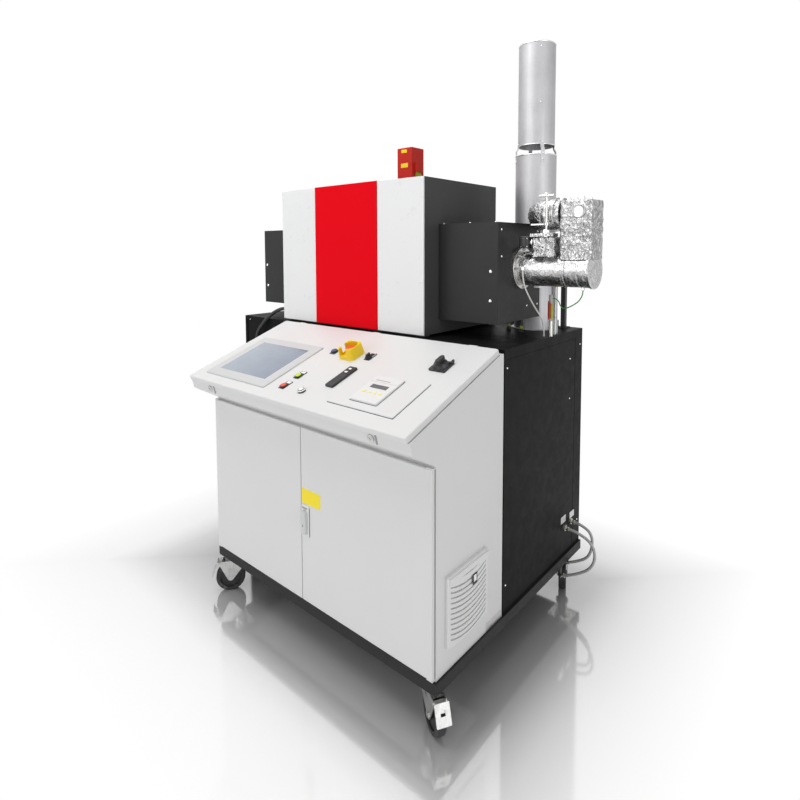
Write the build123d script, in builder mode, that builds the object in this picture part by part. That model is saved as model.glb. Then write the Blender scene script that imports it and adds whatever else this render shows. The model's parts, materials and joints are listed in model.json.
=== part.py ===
from build123d import *
import os
from math import atan2, cos, radians, sin, sqrt, tan

os.makedirs("parts", exist_ok=True)

# A tube furnace on a wheeled stand with a control desk in front, in millimetres.
# The origin is on the floor under the middle of the overall box.
# +X is to the operator's right, +Y is away from the operator and +Z is up.

# Clearances
sheet = 2.0                 # folded sheet steel of the desk and the cabinet
run_fit = 0.05              # radial clearance of a pin or shaft that turns
seat = 0.3                  # gap between pieces that rest against each other
swing_gap = 0.5             # gap beside a piece that turns

# Placing in the frame
desk_x = 86.0               # middle of the desk
desk_y = -477.0             # front edge of the desk's side walls

# Base frame
castor_height = 155.0
plinth_height = 40.0
plinth_wide = 50.0          # width of the folded channel
plinth_sheet = 3.0
plinth_overhang = 8.0       # plinth beyond the desk's side walls
plinth_front = 9.0          # plinth in front of the side walls

# Castors
wheel_r = 62.5
wheel_wide = 32.0
castor_trail = 38.0
axle_r = 6.0
castor_plate = (105.0, 85.0, 4.0)
castor_inset = (68.0, 58.0)
castor_inset_rr = 58.0      # right rear castor, across
castor_bolts = (80.0, 60.0)
castor_bolt_r = 4.5

# Desk
desk_wide = 1200.0
desk_deep = 395.0
door_opening_top = 872.0
apron_low = (112.0, 937.0)  # reach in front of the side walls, height
apron_high = (123.0, 976.0)
lid_angle = 19.5
desk_back_flat = 14.0
lid_gap = 2.5               # gap between the body and the lid's rim
lid_wide = 1190.0
lid_long = 542.0
lid_rim = 20.0
lid_lap = 8.0               # lid in front of the apron's top edge

# Doors
door_gap = 10.0             # plinth to door
door_thick = 13.0
door_back = 5.0             # gap behind a closed door, filled by the seal
door_split = -14.0          # parting line from the desk's middle
door_side = 2.0             # door edge inside the side wall's face
door_top_gap = 6.0
door_lip = 14.0
door_pin_r = 3.5
door_pin_in = 8.0           # pin from the door's outer edge
door_bracket = 3.0

# Rear cabinet
cabinet_left = -987.0       # from the desk's middle
cabinet_right = 600.0
cabinet_front = 400.0       # from the desk's front edge
cabinet_back = 1090.0
cabinet_top = 1168.0

# Furnace
furnace_left = -660.0
furnace_right = 230.0
furnace_front = 417.0
furnace_back = 956.0
furnace_base = 1178.0
furnace_top = 1807.0
white_thick = 6.0
red_thick = 10.0
red_left = -411.0
red_right = -20.0
panel_gap = 2.0
tube_y = 683.0
tube_z = 1445.0
tube_r = 60.0
tube_wall = 7.0
tube_left = -830.0
end_box_y = (510.0, 856.0)
end_box_z = (1236.0, 1623.0)
end_box_left = -953.0
end_box_right = 505.5

# Exhaust line
flange_r = 82.0
spool_r = 68.0
spool_bore_r = 50.0
spool_end = 808.0
valve_x = (690.0, 815.0)
valve_y = (620.0, 745.0)
valve_top = 1700.0
duct_r = 59.0
duct_z = 1652.0
chimney_x = 421.0
chimney_y = 975.0
chimney_low_r = 88.0
chimney_low_top = 1930.0
chimney_high_r = 79.0
chimney_high_base = 1970.0
chimney_top = 2405.0
chimney_sheet = 2.0


def at(x, y, z):
    """Point given from the desk's middle, its front edge and the floor."""
    return (desk_x + x, desk_y + y, z)


def finish(piece, name):
    """Label a finished piece and write it."""
    piece.part.label = name
    export_step(piece.part, f"parts/{name}.step")


def side_plane(x):
    """Sketch plane at x from the desk's middle, with sketch x along Y and sketch y up."""
    return Plane(origin=(desk_x + x, desk_y, 0), x_dir=(0, 1, 0), z_dir=(1, 0, 0))


def front_plane(y):
    """Sketch plane at y from the desk's front, facing the operator."""
    return Plane(origin=(desk_x, desk_y + y, 0), x_dir=(1, 0, 0), z_dir=(0, -1, 0))


def floor_plane(z):
    """Level sketch plane with its origin at the desk's middle and front edge."""
    return Plane(origin=(desk_x, desk_y, z), x_dir=(1, 0, 0), z_dir=(0, 0, 1))


def box_between(low, high, mode=Mode.ADD):
    """Box between two corners given from the desk's middle, front edge and floor."""
    centre = [(a + b) / 2 for a, b in zip(low, high)]
    size = [b - a for a, b in zip(low, high)]
    with Locations(at(*centre)):
        Box(*size, mode=mode)


# Base frame: folded channels, open below, with plates where the castors bolt on
base_top = castor_height + plinth_height
plinth_x = (-desk_wide / 2 - plinth_overhang, desk_wide / 2 + plinth_overhang)
castor_spots = {
    "fl": (plinth_x[0] + castor_inset[0], -plinth_front + castor_inset[1], 235.0),
    "fr": (plinth_x[1] - castor_inset[0], -plinth_front + castor_inset[1], 330.0),
    "rl": (cabinet_left + castor_inset[0], cabinet_back - castor_inset[1], 250.0),
    "rr": (plinth_x[1] - castor_inset_rr, cabinet_back - castor_inset[1], 293.0),
}
frame_bays = [
    (plinth_x[0], -plinth_front, plinth_x[1], cabinet_front),
    (cabinet_left, cabinet_front, plinth_x[1], cabinet_back),
]


with BuildPart() as base_frame:
    for skin, mode in ((0.0, Mode.ADD), (plinth_sheet, Mode.SUBTRACT)):
        for left, front, right, back in frame_bays:
            with BuildSketch(floor_plane(castor_height)):
                with Locations(((left + right) / 2, (front + back) / 2)):
                    Rectangle(right - left - 2 * skin, back - front - 2 * skin)
                    Rectangle(
                        right - left - 2 * (plinth_wide - skin),
                        back - front - 2 * (plinth_wide - skin),
                        mode=Mode.SUBTRACT,
                    )
            extrude(amount=plinth_height - skin, mode=mode)
    with BuildSketch(floor_plane(castor_height)):
        for x, y, angle in castor_spots.values():
            with Locations((x, y)):
                Rectangle(castor_plate[0] + 8, castor_plate[1] + 8)
    extrude(amount=plinth_sheet + 2)
    with BuildSketch(floor_plane(castor_height)):
        for x, y, angle in castor_spots.values():
            with Locations((x, y)):
                with GridLocations(castor_bolts[0], castor_bolts[1], 2, 2):
                    Circle(castor_bolt_r)
    extrude(amount=plinth_sheet + 2, mode=Mode.SUBTRACT)
base_frame.part.label = "base_frame"
export_step(base_frame.part, "parts/base_frame.step")

# Castors
race_r = 30.0
race_base = castor_height - 16.0
crown_thick = 8.0
crown_base = race_base - seat - crown_thick
king_r = 6.0
nut_r = 10.0
nut_high = 7.0
cheek_gap = 38.0
cheek_thick = 3.5
cheek_outer = cheek_gap / 2 + cheek_thick
pedal_pin = (castor_trail + 40.0, wheel_r + 64.0)
pedal_pin_r = 4.0
pedal_wide = 50.0
pedal_thick = 3.0
pedal_hole = 16.0


def swivel_plane(spot):
    """Upright plane through a castor's swivel axis, sketch x along its trail, sketch y up."""
    x, y, angle = spot
    trail = Vector(cos(radians(angle)), sin(radians(angle)), 0)
    return Plane(origin=at(x, y, 0), x_dir=trail, z_dir=trail.cross(Vector(0, 0, 1)))


def make_fork(spot, braked):
    """Swivel fork: a crown plate, two cheeks and the wheel's axle bolt."""
    upright = swivel_plane(spot)
    reach = pedal_pin[0] if braked else race_r + 18
    with BuildPart() as fork:
        with BuildSketch(upright):
            with BuildLine():
                Polyline(
                    (-race_r, crown_base + crown_thick),
                    (-race_r, crown_base - 6),
                    (castor_trail - 14, wheel_r - 4),
                    (castor_trail + 14, wheel_r - 4),
                    (reach + 4, pedal_pin[1] - 8),
                    (reach + 4, crown_base + crown_thick),
                    close=True,
                )
            make_face()
            with Locations((castor_trail, wheel_r)):
                Circle(14)
            if braked:
                with Locations(pedal_pin):
                    Circle(9)
        extrude(amount=cheek_outer, both=True)
        with BuildSketch(upright):
            with Locations((castor_trail, crown_base / 2)):
                Rectangle(4 * wheel_r, crown_base)
            with Locations((race_r + 32 + wheel_r, crown_base)):
                Rectangle(2 * wheel_r, 4 * crown_thick)
        extrude(amount=cheek_gap / 2, both=True, mode=Mode.SUBTRACT)
        with BuildSketch(floor_plane(crown_base)):
            with Locations(spot[:2]):
                Circle(race_r)
        extrude(amount=crown_thick)
        with BuildSketch(floor_plane(crown_base)):
            with Locations(spot[:2]):
                Circle(king_r + run_fit)
        extrude(amount=crown_thick, mode=Mode.SUBTRACT)
        with BuildSketch(upright):
            with Locations((castor_trail, wheel_r)):
                Circle(axle_r)
        extrude(amount=cheek_outer, both=True)
        with BuildSketch(upright):
            with Locations((castor_trail, wheel_r)):
                RegularPolygon(9, 6)
        extrude(amount=cheek_outer + 4, both=True)
        with BuildSketch(upright):
            with Locations((castor_trail, wheel_r)):
                RegularPolygon(9.5, 6)
                Circle(axle_r, mode=Mode.SUBTRACT)
        extrude(amount=cheek_gap / 2, both=True, mode=Mode.SUBTRACT)
        if braked:
            with BuildSketch(upright):
                with Locations(pedal_pin):
                    Circle(pedal_pin_r + run_fit)
            extrude(amount=cheek_outer, both=True, mode=Mode.SUBTRACT)
    return fork


def make_wheel(spot):
    """Wheel with a rounded tread, a web set back from the rim and a long hub."""
    upright = swivel_plane(spot)
    with BuildPart() as wheel:
        with BuildSketch(upright):
            with Locations((castor_trail, wheel_r)):
                Circle(wheel_r)
        extrude(amount=wheel_wide / 2, both=True)
        fillet(wheel.edges().filter_by(GeomType.CIRCLE), 6)
        for side in (1, -1):
            with BuildSketch(upright.offset(side * wheel_wide / 2)):
                with Locations((castor_trail, wheel_r)):
                    Circle(wheel_r - 17)
            extrude(amount=-side * 7, mode=Mode.SUBTRACT)
        with BuildSketch(upright):
            with Locations((castor_trail, wheel_r)):
                Circle(15)
        extrude(amount=cheek_gap / 2 - seat, both=True)
        with BuildSketch(upright):
            with Locations((castor_trail, wheel_r)):
                Circle(axle_r + run_fit)
        extrude(amount=cheek_gap / 2, both=True, mode=Mode.SUBTRACT)
    return wheel


def make_brake(spot):
    """Brake pedal: a plate with a square hole on a cross pin through the fork's cheeks."""
    upright = swivel_plane(spot)
    top = (pedal_pin[0] + 12, pedal_pin[1] + 10.5)
    low = (pedal_pin[0] + 36, pedal_pin[1] - 48.5)
    run = Vector(low[0] - top[0], low[1] - top[1], 0).normalized()
    out = Vector(-run.Y, run.X, 0)
    face_x = upright.x_dir * run.X + upright.y_dir * run.Y
    face_z = upright.x_dir * out.X + upright.y_dir * out.Y
    middle = upright.origin + upright.x_dir * (top[0] + low[0]) / 2
    middle = middle + upright.y_dir * (top[1] + low[1]) / 2
    face = Plane(origin=middle, x_dir=face_x, z_dir=face_z)
    length = sqrt((low[0] - top[0]) ** 2 + (low[1] - top[1]) ** 2)
    with BuildPart() as brake:
        with BuildSketch(upright):
            with Locations(pedal_pin):
                Circle(2 * pedal_pin_r)
            with BuildLine():
                Polyline(
                    (pedal_pin[0] - 2, pedal_pin[1] + 7),
                    (pedal_pin[0], pedal_pin[1] - 7.5),
                    (low[0] - 11, low[1] + 32),
                    (top[0] + 2, top[1]),
                    close=True,
                )
            make_face()
        extrude(amount=cheek_gap / 2 - seat, both=True)
        with BuildSketch(upright):
            with Locations(pedal_pin):
                Circle(pedal_pin_r)
        extrude(amount=cheek_outer + 2, both=True)
        with BuildSketch(face):
            RectangleRounded(length, pedal_wide, 3)
        extrude(amount=pedal_thick)
        with BuildSketch(face):
            with Locations((-4, 0)):
                Rectangle(pedal_hole, pedal_hole)
        extrude(amount=pedal_thick, mode=Mode.SUBTRACT)
    return brake


with BuildPart() as castor_plates:
    for x, y, angle in castor_spots.values():
        with BuildSketch(floor_plane(castor_height)):
            with Locations((x, y)):
                RectangleRounded(castor_plate[0], castor_plate[1], 8)
                with GridLocations(castor_bolts[0], castor_bolts[1], 2, 2):
                    Circle(castor_bolt_r, mode=Mode.SUBTRACT)
        extrude(amount=-castor_plate[2])
        with BuildSketch(floor_plane(race_base)):
            with Locations((x, y)):
                Circle(race_r)
        extrude(until=Until.NEXT)
        with BuildSketch(floor_plane(race_base)):
            with Locations((x, y)):
                Circle(king_r)
        extrude(amount=-(crown_thick + 2 * seat))
        with BuildSketch(floor_plane(crown_base - seat)):
            with Locations((x, y)):
                RegularPolygon(nut_r, 6)
        extrude(amount=-nut_high)
castor_plates.part.label = "castor_plates"
export_step(castor_plates.part, "parts/castor_plates.step")

for corner, spot in castor_spots.items():
    has_brake = corner in ("fl", "fr")
    finish(make_fork(spot, has_brake), f"castor_fork_{corner}")
    finish(make_wheel(spot), f"castor_wheel_{corner}")
    if has_brake:
        finish(make_brake(spot), f"castor_brake_{corner}")

# Desk body: one folded shell with a sloping top, open at the doors and under the lid
slope = radians(lid_angle)
rise = tan(slope)
half = desk_wide / 2
body_back_y = desk_deep - desk_back_flat
body_top = apron_high[1] + (body_back_y + apron_high[0]) * rise
door_low = base_top + door_gap
door_high = door_opening_top - door_top_gap
body_outline = [
    (0, base_top),
    (0, door_opening_top),
    (-apron_low[0], apron_low[1]),
    (-apron_high[0], apron_high[1]),
    (body_back_y, body_top),
    (desk_deep, body_top),
    (desk_deep, base_top),
]
fan_cut = 222.0
fan_y = 163.0
fan_z = 392.0
opening_edge = 28.0
lid_opening = (1130.0, 440.0)

# The lid's own plane: origin at the middle of its front edge, on its top face
lid_start = (
    -apron_high[0] - lid_lap * cos(slope) - (lid_gap + lid_rim) * sin(slope),
    apron_high[1] - lid_lap * sin(slope) + (lid_gap + lid_rim) * cos(slope),
)
lid_plane = Plane(
    origin=at(0, lid_start[0], lid_start[1]),
    x_dir=(1, 0, 0),
    z_dir=(0, -sin(slope), cos(slope)),
)
lid_up = Axis(origin=lid_plane.origin, direction=lid_plane.z_dir)
lock_x = (-460.0, 444.0)
lock_r = 9.0
apron_tilt = atan2(apron_high[0] - apron_low[0], apron_high[1] - apron_low[1])
apron_plane = Plane(
    origin=at(0, -(apron_low[0] + apron_high[0]) / 2, (apron_low[1] + apron_high[1]) / 2),
    x_dir=(1, 0, 0),
    z_dir=(0, -cos(apron_tilt), -sin(apron_tilt)),
)

# Lid hinge line, in the lid's plane
hinge_out = 9.0
hinge_s = lid_long + hinge_out
hinge_n = -13.5
hinge_pin_r = 3.0
knuckle_r = 7.0
knuckle_x = (-480.0, 0.0, 480.0)
knuckle_wide = 20.0
lug_wide = 6.0
lid_axis = (
    lid_start[0] + hinge_s * cos(slope) - hinge_n * sin(slope),
    lid_start[1] + hinge_s * sin(slope) + hinge_n * cos(slope),
)

# Pivot line of the doors
pin_y = -door_back - door_thick / 2
pin_x = half - door_side - door_pin_in

with BuildPart() as console_shell:
    with BuildSketch(side_plane(-half)):
        with BuildLine():
            Polyline(*body_outline, close=True)
        make_face()
    extrude(amount=desk_wide)
    with BuildSketch(side_plane(-half + sheet)):
        with BuildLine():
            Polyline(*body_outline, close=True)
        make_face()
        offset(amount=-sheet, kind=Kind.INTERSECTION)
    extrude(amount=desk_wide - 2 * sheet, mode=Mode.SUBTRACT)
    with BuildSketch(front_plane(0)):
        with Locations((0, (door_low + door_high) / 2)):
            Rectangle(desk_wide - 2 * opening_edge, door_high - door_low - 2 * opening_edge)
    extrude(amount=-sheet, mode=Mode.SUBTRACT)
    with BuildSketch(lid_plane.offset(-lid_rim - lid_gap)):
        with Locations((0, lid_lap + 30 + lid_opening[1] / 2)):
            Rectangle(*lid_opening)
    extrude(amount=-sheet - 0.5, mode=Mode.SUBTRACT)
    with BuildSketch(side_plane(half)):
        with Locations((fan_y, fan_z)):
            Rectangle(fan_cut, fan_cut)
    extrude(amount=-sheet, mode=Mode.SUBTRACT)
    with BuildSketch(apron_plane):
        for x in lock_x:
            with Locations((x, 0)):
                Circle(lock_r + run_fit)
    extrude(amount=-sheet, mode=Mode.SUBTRACT)
    for side in (-1, 1):
        for z, way in ((door_low, -1), (door_high, 1)):
            with BuildSketch(floor_plane(z + way * seat)):
                with Locations((side * (half - 12), (pin_y - 5) / 2)):
                    Rectangle(22, -pin_y + 5)
            extrude(amount=way * door_bracket)
            with BuildSketch(floor_plane(z + way * seat)):
                with Locations((side * pin_x, pin_y)):
                    Circle(door_pin_r)
            extrude(amount=-way * 12)
    for x in knuckle_x:
        with BuildSketch(side_plane(x - knuckle_wide / 2)):
            with Locations((lid_axis[0], (lid_axis[1] + body_top) / 2)):
                Rectangle(10, lid_axis[1] - body_top)
            with Locations(lid_axis):
                Circle(knuckle_r)
        extrude(amount=knuckle_wide)
        with BuildSketch(side_plane(x - knuckle_wide / 2 - lug_wide - 4)):
            with Locations(lid_axis):
                Circle(hinge_pin_r)
        extrude(amount=knuckle_wide + 2 * lug_wide + 8)
console_shell.part.label = "console_shell"
export_step(console_shell.part, "parts/console_shell.step")

# Doors: folded pans on pivot pins at their outer edges
door_spans = {
    "door_left": (-half + door_side, door_split - 1.5),
    "door_right": (door_split + 1.5, half - door_side),
}
handle_x = 12.0
handle_z = 517.0
handle_spindle_r = 6.0
handle_hub_z = 548.0


def make_door(span, hinge_side):
    """Sheet pan with a rolled front edge, a lip round its back and two pin bushes."""
    left, right = span
    with BuildPart() as door:
        box_between((left, -door_back - door_thick, door_low), (right, -door_back, door_high))
        front = door.faces().sort_by(Axis.Y)[0]
        fillet(front.edges(), 3)
        box_between(
            (left + sheet, -door_back - door_thick + sheet, door_low + sheet),
            (right - sheet, -door_back - sheet, door_high - sheet),
            Mode.SUBTRACT,
        )
        box_between(
            (left + door_lip, -door_back - sheet, door_low + door_lip),
            (right - door_lip, -door_back, door_high - door_lip),
            Mode.SUBTRACT,
        )
        for z, way in ((door_low, 1), (door_high, -1)):
            with BuildSketch(floor_plane(z)):
                with Locations((hinge_side * pin_x, pin_y)):
                    Circle(door_thick / 2 - 0.2)
            extrude(amount=way * 14)
        with BuildSketch(floor_plane(door_low)):
            with Locations((hinge_side * pin_x, pin_y)):
                Circle(door_pin_r + run_fit)
        extrude(amount=door_high - door_low, mode=Mode.SUBTRACT)
        if hinge_side > 0:
            with BuildSketch(front_plane(-door_back)):
                with Locations((handle_x, handle_hub_z)):
                    Circle(handle_spindle_r + 1)
            extrude(amount=door_thick, mode=Mode.SUBTRACT)
    return door


door_left = make_door(door_spans["door_left"], -1)
finish(door_left, "door_left")
door_right = make_door(door_spans["door_right"], 1)
finish(door_right, "door_right")

# Door handle: a flush plate with a turning lever
plate_wide = 42.0
plate_high = 124.0
plate_thick = 4.0
lever_wide = 26.0
lever_long = 92.0
door_face = -door_back - door_thick

with BuildPart() as handle_plate:
    with BuildSketch(front_plane(door_face)):
        with Locations((handle_x, handle_z)):
            RectangleRounded(plate_wide, plate_high, 8)
        with Locations((handle_x, handle_hub_z)):
            Circle(handle_spindle_r + run_fit, mode=Mode.SUBTRACT)
    extrude(amount=plate_thick)
    chamfer(handle_plate.faces().sort_by(Axis.Y)[0].outer_wire().edges(), 1)
handle_plate.part.label = "handle_plate"
export_step(handle_plate.part, "parts/handle_plate.step")

with BuildPart() as swing_handle:
    with BuildSketch(front_plane(door_face - plate_thick - seat)):
        with Locations((handle_x, handle_hub_z + lever_wide / 2 - lever_long / 2)):
            SlotOverall(lever_long, lever_wide, rotation=90)
    extrude(amount=11)
    lever_top = swing_handle.faces().sort_by(Axis.Y)[0]
    fillet(lever_top.edges(), 2.5)
    with BuildSketch(front_plane(door_face - plate_thick - seat)):
        with Locations((handle_x, handle_hub_z)):
            Circle(handle_spindle_r)
    extrude(amount=-(plate_thick + seat + 7))
    with BuildSketch(front_plane(door_face - plate_thick - seat - 11)):
        with Locations((handle_x, handle_hub_z - 44)):
            SlotOverall(11, 4, rotation=60)
    extrude(amount=-5, mode=Mode.SUBTRACT)
swing_handle.part.label = "swing_handle"
export_step(swing_handle.part, "parts/swing_handle.step")

# Desk lid and what is set in it. Places on the lid are given as (x, distance up the slope).
hmi_size = (400.0, 318.0)
hmi_at = (-327.0, 204.0)
hmi_cut = (374.0, 292.0)
hmi_thick = 6.0
hmi_deep = 48.0
screen_size = (308.0, 232.0)
screen_thick = 1.5
limiter_size = (292.0, 202.0)
limiter_at = (351.0, 164.0)
limiter_thick = 5.0
module_size = (122.0, 150.0)
module_at = (343.0, 170.0)
module_thick = 8.0
slim_size = (38.0, 133.0)
slim_at = (139.0, 202.0)
slim_thick = 9.0
start_at = (-50.0, 155.0)
stop_at = (-50.0, 82.0)
reset_at = (-50.0, 350.0)
lamp_at = (55.0, 80.0)
key_at = (140.0, 350.0)
estop_at = (50.0, 350.0)
main_at = (463.0, 374.0)
button_hole_r = 11.25
barrel_r = 11.0
collar_r = 14.7
collar_high = 6.0
cap_r = 11.7
cap_recess = 2.0
stem_r = 8.0
press_travel = 3.0
legend = (30.0, 50.0, 1.6)
main_plate = 67.0
main_plate_thick = 6.0
main_shaft_r = 10.0
control_spots = [start_at, stop_at, reset_at, lamp_at, key_at]

with BuildPart() as desk_lid:
    with BuildSketch(lid_plane):
        with Locations((0, lid_long / 2)):
            RectangleRounded(lid_wide, lid_long, 10)
    extrude(amount=-lid_rim)
    fillet(desk_lid.faces().sort_by(lid_up)[-1].edges(), 5)
    with BuildSketch(lid_plane.offset(-lid_rim)):
        with Locations((0, lid_long / 2)):
            RectangleRounded(lid_wide - 2 * sheet, lid_long - 2 * sheet, 8)
    extrude(amount=lid_rim - sheet, mode=Mode.SUBTRACT)
    for x in knuckle_x:
        for side in (-1, 1):
            start = x + side * (knuckle_wide / 2 + swing_gap + lug_wide / 2) - lug_wide / 2
            with BuildSketch(side_plane(start)):
                with Locations(lid_axis):
                    Circle(knuckle_r)
                with Locations(Location((lid_axis[0], lid_axis[1]), lid_angle)):
                    with Locations((-hinge_out / 2, 0)):
                        Rectangle(hinge_out + 1, 10)
            extrude(amount=lug_wide)
            with BuildSketch(side_plane(start)):
                with Locations(lid_axis):
                    Circle(hinge_pin_r + run_fit)
            extrude(amount=lug_wide, mode=Mode.SUBTRACT)
    with BuildSketch(lid_plane):
        with Locations(hmi_at):
            Rectangle(*hmi_cut)
        with Locations(*control_spots):
            Circle(button_hole_r)
        with Locations(estop_at, main_at):
            Circle(button_hole_r)
        with Locations(module_at):
            Rectangle(module_size[0] - 20, module_size[1] - 20)
    extrude(amount=-sheet, mode=Mode.SUBTRACT)
desk_lid.part.label = "desk_lid"
export_step(desk_lid.part, "parts/desk_lid.step")

with BuildPart() as hmi_bezel:
    with BuildSketch(lid_plane):
        with Locations(hmi_at):
            RectangleRounded(hmi_size[0], hmi_size[1], 7)
    extrude(amount=hmi_thick)
    chamfer(hmi_bezel.faces().sort_by(lid_up)[-1].edges(), 2)
    with BuildSketch(lid_plane):
        with Locations(hmi_at):
            Rectangle(hmi_cut[0] - 2, hmi_cut[1] - 2)
    extrude(amount=-hmi_deep)
    with BuildSketch(lid_plane.offset(hmi_thick)):
        with Locations(hmi_at):
            Rectangle(screen_size[0] + 2 * seat, screen_size[1] + 2 * seat)
    extrude(amount=-screen_thick - seat, mode=Mode.SUBTRACT)
hmi_bezel.part.label = "hmi_bezel"
export_step(hmi_bezel.part, "parts/hmi_bezel.step")

with BuildPart() as hmi_screen:
    with BuildSketch(lid_plane.offset(hmi_thick - screen_thick - seat)):
        with Locations(hmi_at):
            Rectangle(*screen_size)
    extrude(amount=screen_thick)
hmi_screen.part.label = "hmi_screen"
export_step(hmi_screen.part, "parts/hmi_screen.step")

with BuildPart() as control_bodies:
    for spot in control_spots:
        with BuildSketch(lid_plane):
            with Locations(spot):
                Circle(collar_r)
        extrude(amount=collar_high)
        if spot in (start_at, stop_at, key_at):
            with BuildSketch(lid_plane):
                with Locations((spot[0], spot[1] + 9)):
                    RectangleRounded(legend[0], legend[1], 3)
            extrude(amount=legend[2])
        with BuildSketch(lid_plane):
            with Locations(spot):
                Circle(barrel_r)
        extrude(amount=-14)
        with BuildSketch(lid_plane.offset(-sheet - seat)):
            with Locations(spot):
                RectangleRounded(30, 40, 2)
        extrude(amount=-46)
        with BuildSketch(lid_plane.offset(cap_recess)):
            with Locations(spot):
                Circle(cap_r + seat)
        extrude(amount=collar_high, mode=Mode.SUBTRACT)
        with BuildSketch(lid_plane.offset(cap_recess)):
            with Locations(spot):
                Circle(stem_r + run_fit)
        extrude(amount=-14, mode=Mode.SUBTRACT)
    with BuildSketch(lid_plane.offset(cap_recess)):
        with Locations(lamp_at):
            Circle(cap_r)
    extrude(amount=9)
    with BuildSketch(lid_plane):
        with Locations(main_at):
            RectangleRounded(main_plate, main_plate, 4)
    extrude(amount=main_plate_thick)
    with BuildSketch(lid_plane):
        with Locations(main_at):
            Circle(barrel_r)
    extrude(amount=-sheet - seat)
    with BuildSketch(lid_plane.offset(-sheet - seat)):
        with Locations(main_at):
            Rectangle(60, 60)
    extrude(amount=-70)
    with BuildSketch(lid_plane.offset(main_plate_thick)):
        with Locations(main_at):
            Circle(main_shaft_r + run_fit)
    extrude(amount=-20, mode=Mode.SUBTRACT)
control_bodies.part.label = "control_bodies"
export_step(control_bodies.part, "parts/control_bodies.step")


def make_button(spot, cap_high):
    """Push button: a slightly domed cap on a stem that slides in the body."""
    with BuildPart() as button:
        with BuildSketch(lid_plane.offset(cap_recess + press_travel + seat)):
            with Locations(spot):
                Circle(cap_r)
        extrude(amount=cap_high)
        top = button.faces().sort_by(lid_up)[-1]
        fillet(top.edges(), 1.2)
        with BuildSketch(lid_plane.offset(cap_recess + press_travel + seat)):
            with Locations(spot):
                Circle(stem_r)
        extrude(amount=-12)
    return button


finish(make_button(start_at, 3.5), "start_button")
finish(make_button(stop_at, 3.5), "stop_button")
finish(make_button(reset_at, 5.0), "reset_button")

with BuildPart() as key_switch:
    with BuildSketch(lid_plane.offset(cap_recess + seat)):
        with Locations(key_at):
            Circle(cap_r)
    extrude(amount=9)
    with BuildSketch(lid_plane.offset(cap_recess + seat + 9)):
        with Locations(key_at):
            SlotOverall(2 * cap_r - 1, 8, rotation=90)
    extrude(amount=8)
    with BuildSketch(lid_plane.offset(cap_recess + seat)):
        with Locations(key_at):
            Circle(stem_r)
    extrude(amount=-10)
key_switch.part.label = "key_switch"
export_step(key_switch.part, "parts/key_switch.step")

with BuildPart() as operator_module:
    with BuildSketch(lid_plane):
        with Locations(slim_at):
            RectangleRounded(slim_size[0], slim_size[1], 3)
    extrude(amount=slim_thick)
    chamfer(operator_module.faces().sort_by(lid_up)[-1].edges(), 1.5)
    with BuildSketch(lid_plane.offset(slim_thick)):
        for step in (0, 1):
            with Locations((slim_at[0], slim_at[1] + 48 - 22 * step)):
                RectangleRounded(18, 14, 2)
    extrude(amount=1.2)
operator_module.part.label = "operator_module"
export_step(operator_module.part, "parts/operator_module.step")

with BuildPart() as limiter_plate:
    with BuildSketch(lid_plane):
        with Locations(limiter_at):
            RectangleRounded(limiter_size[0], limiter_size[1], 5)
        with Locations(module_at):
            Rectangle(module_size[0] - 20, module_size[1] - 20, mode=Mode.SUBTRACT)
    extrude(amount=limiter_thick)
    plate_top = limiter_plate.faces().sort_by(lid_up)[-1]
    chamfer(plate_top.outer_wire().edges(), 2)
limiter_plate.part.label = "limiter_plate"
export_step(limiter_plate.part, "parts/limiter_plate.step")

with BuildPart() as limiter_module:
    with BuildSketch(lid_plane.offset(limiter_thick)):
        with Locations(module_at):
            RectangleRounded(module_size[0], module_size[1], 4)
    extrude(amount=module_thick)
    chamfer(limiter_module.faces().sort_by(lid_up)[-1].edges(), 1.5)
    with BuildSketch(lid_plane.offset(limiter_thick)):
        with Locations(module_at):
            Rectangle(module_size[0] - 22, module_size[1] - 22)
    extrude(amount=-60)
    with BuildSketch(lid_plane.offset(limiter_thick + module_thick)):
        with Locations((module_at[0] + 2, module_at[1] + 11)):
            Rectangle(74, 22)
    extrude(amount=-1.5, mode=Mode.SUBTRACT)
    with BuildSketch(lid_plane.offset(limiter_thick + module_thick)):
        with Locations((module_at[0] - 1, module_at[1] - 26)):
            with GridLocations(24, 20, 4, 1):
                RectangleRounded(15, 10, 2)
    extrude(amount=0.8)
limiter_module.part.label = "limiter_module"
export_step(limiter_module.part, "parts/limiter_module.step")

# Emergency stop: a four-sided guard, open at the front, round a mushroom button
guard_side = 80.0
guard_high = 44.0
guard_bore_r = 33.0
mushroom_r = 20.0
mushroom_travel = 5.0
estop_stem_r = 8.0

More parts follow.
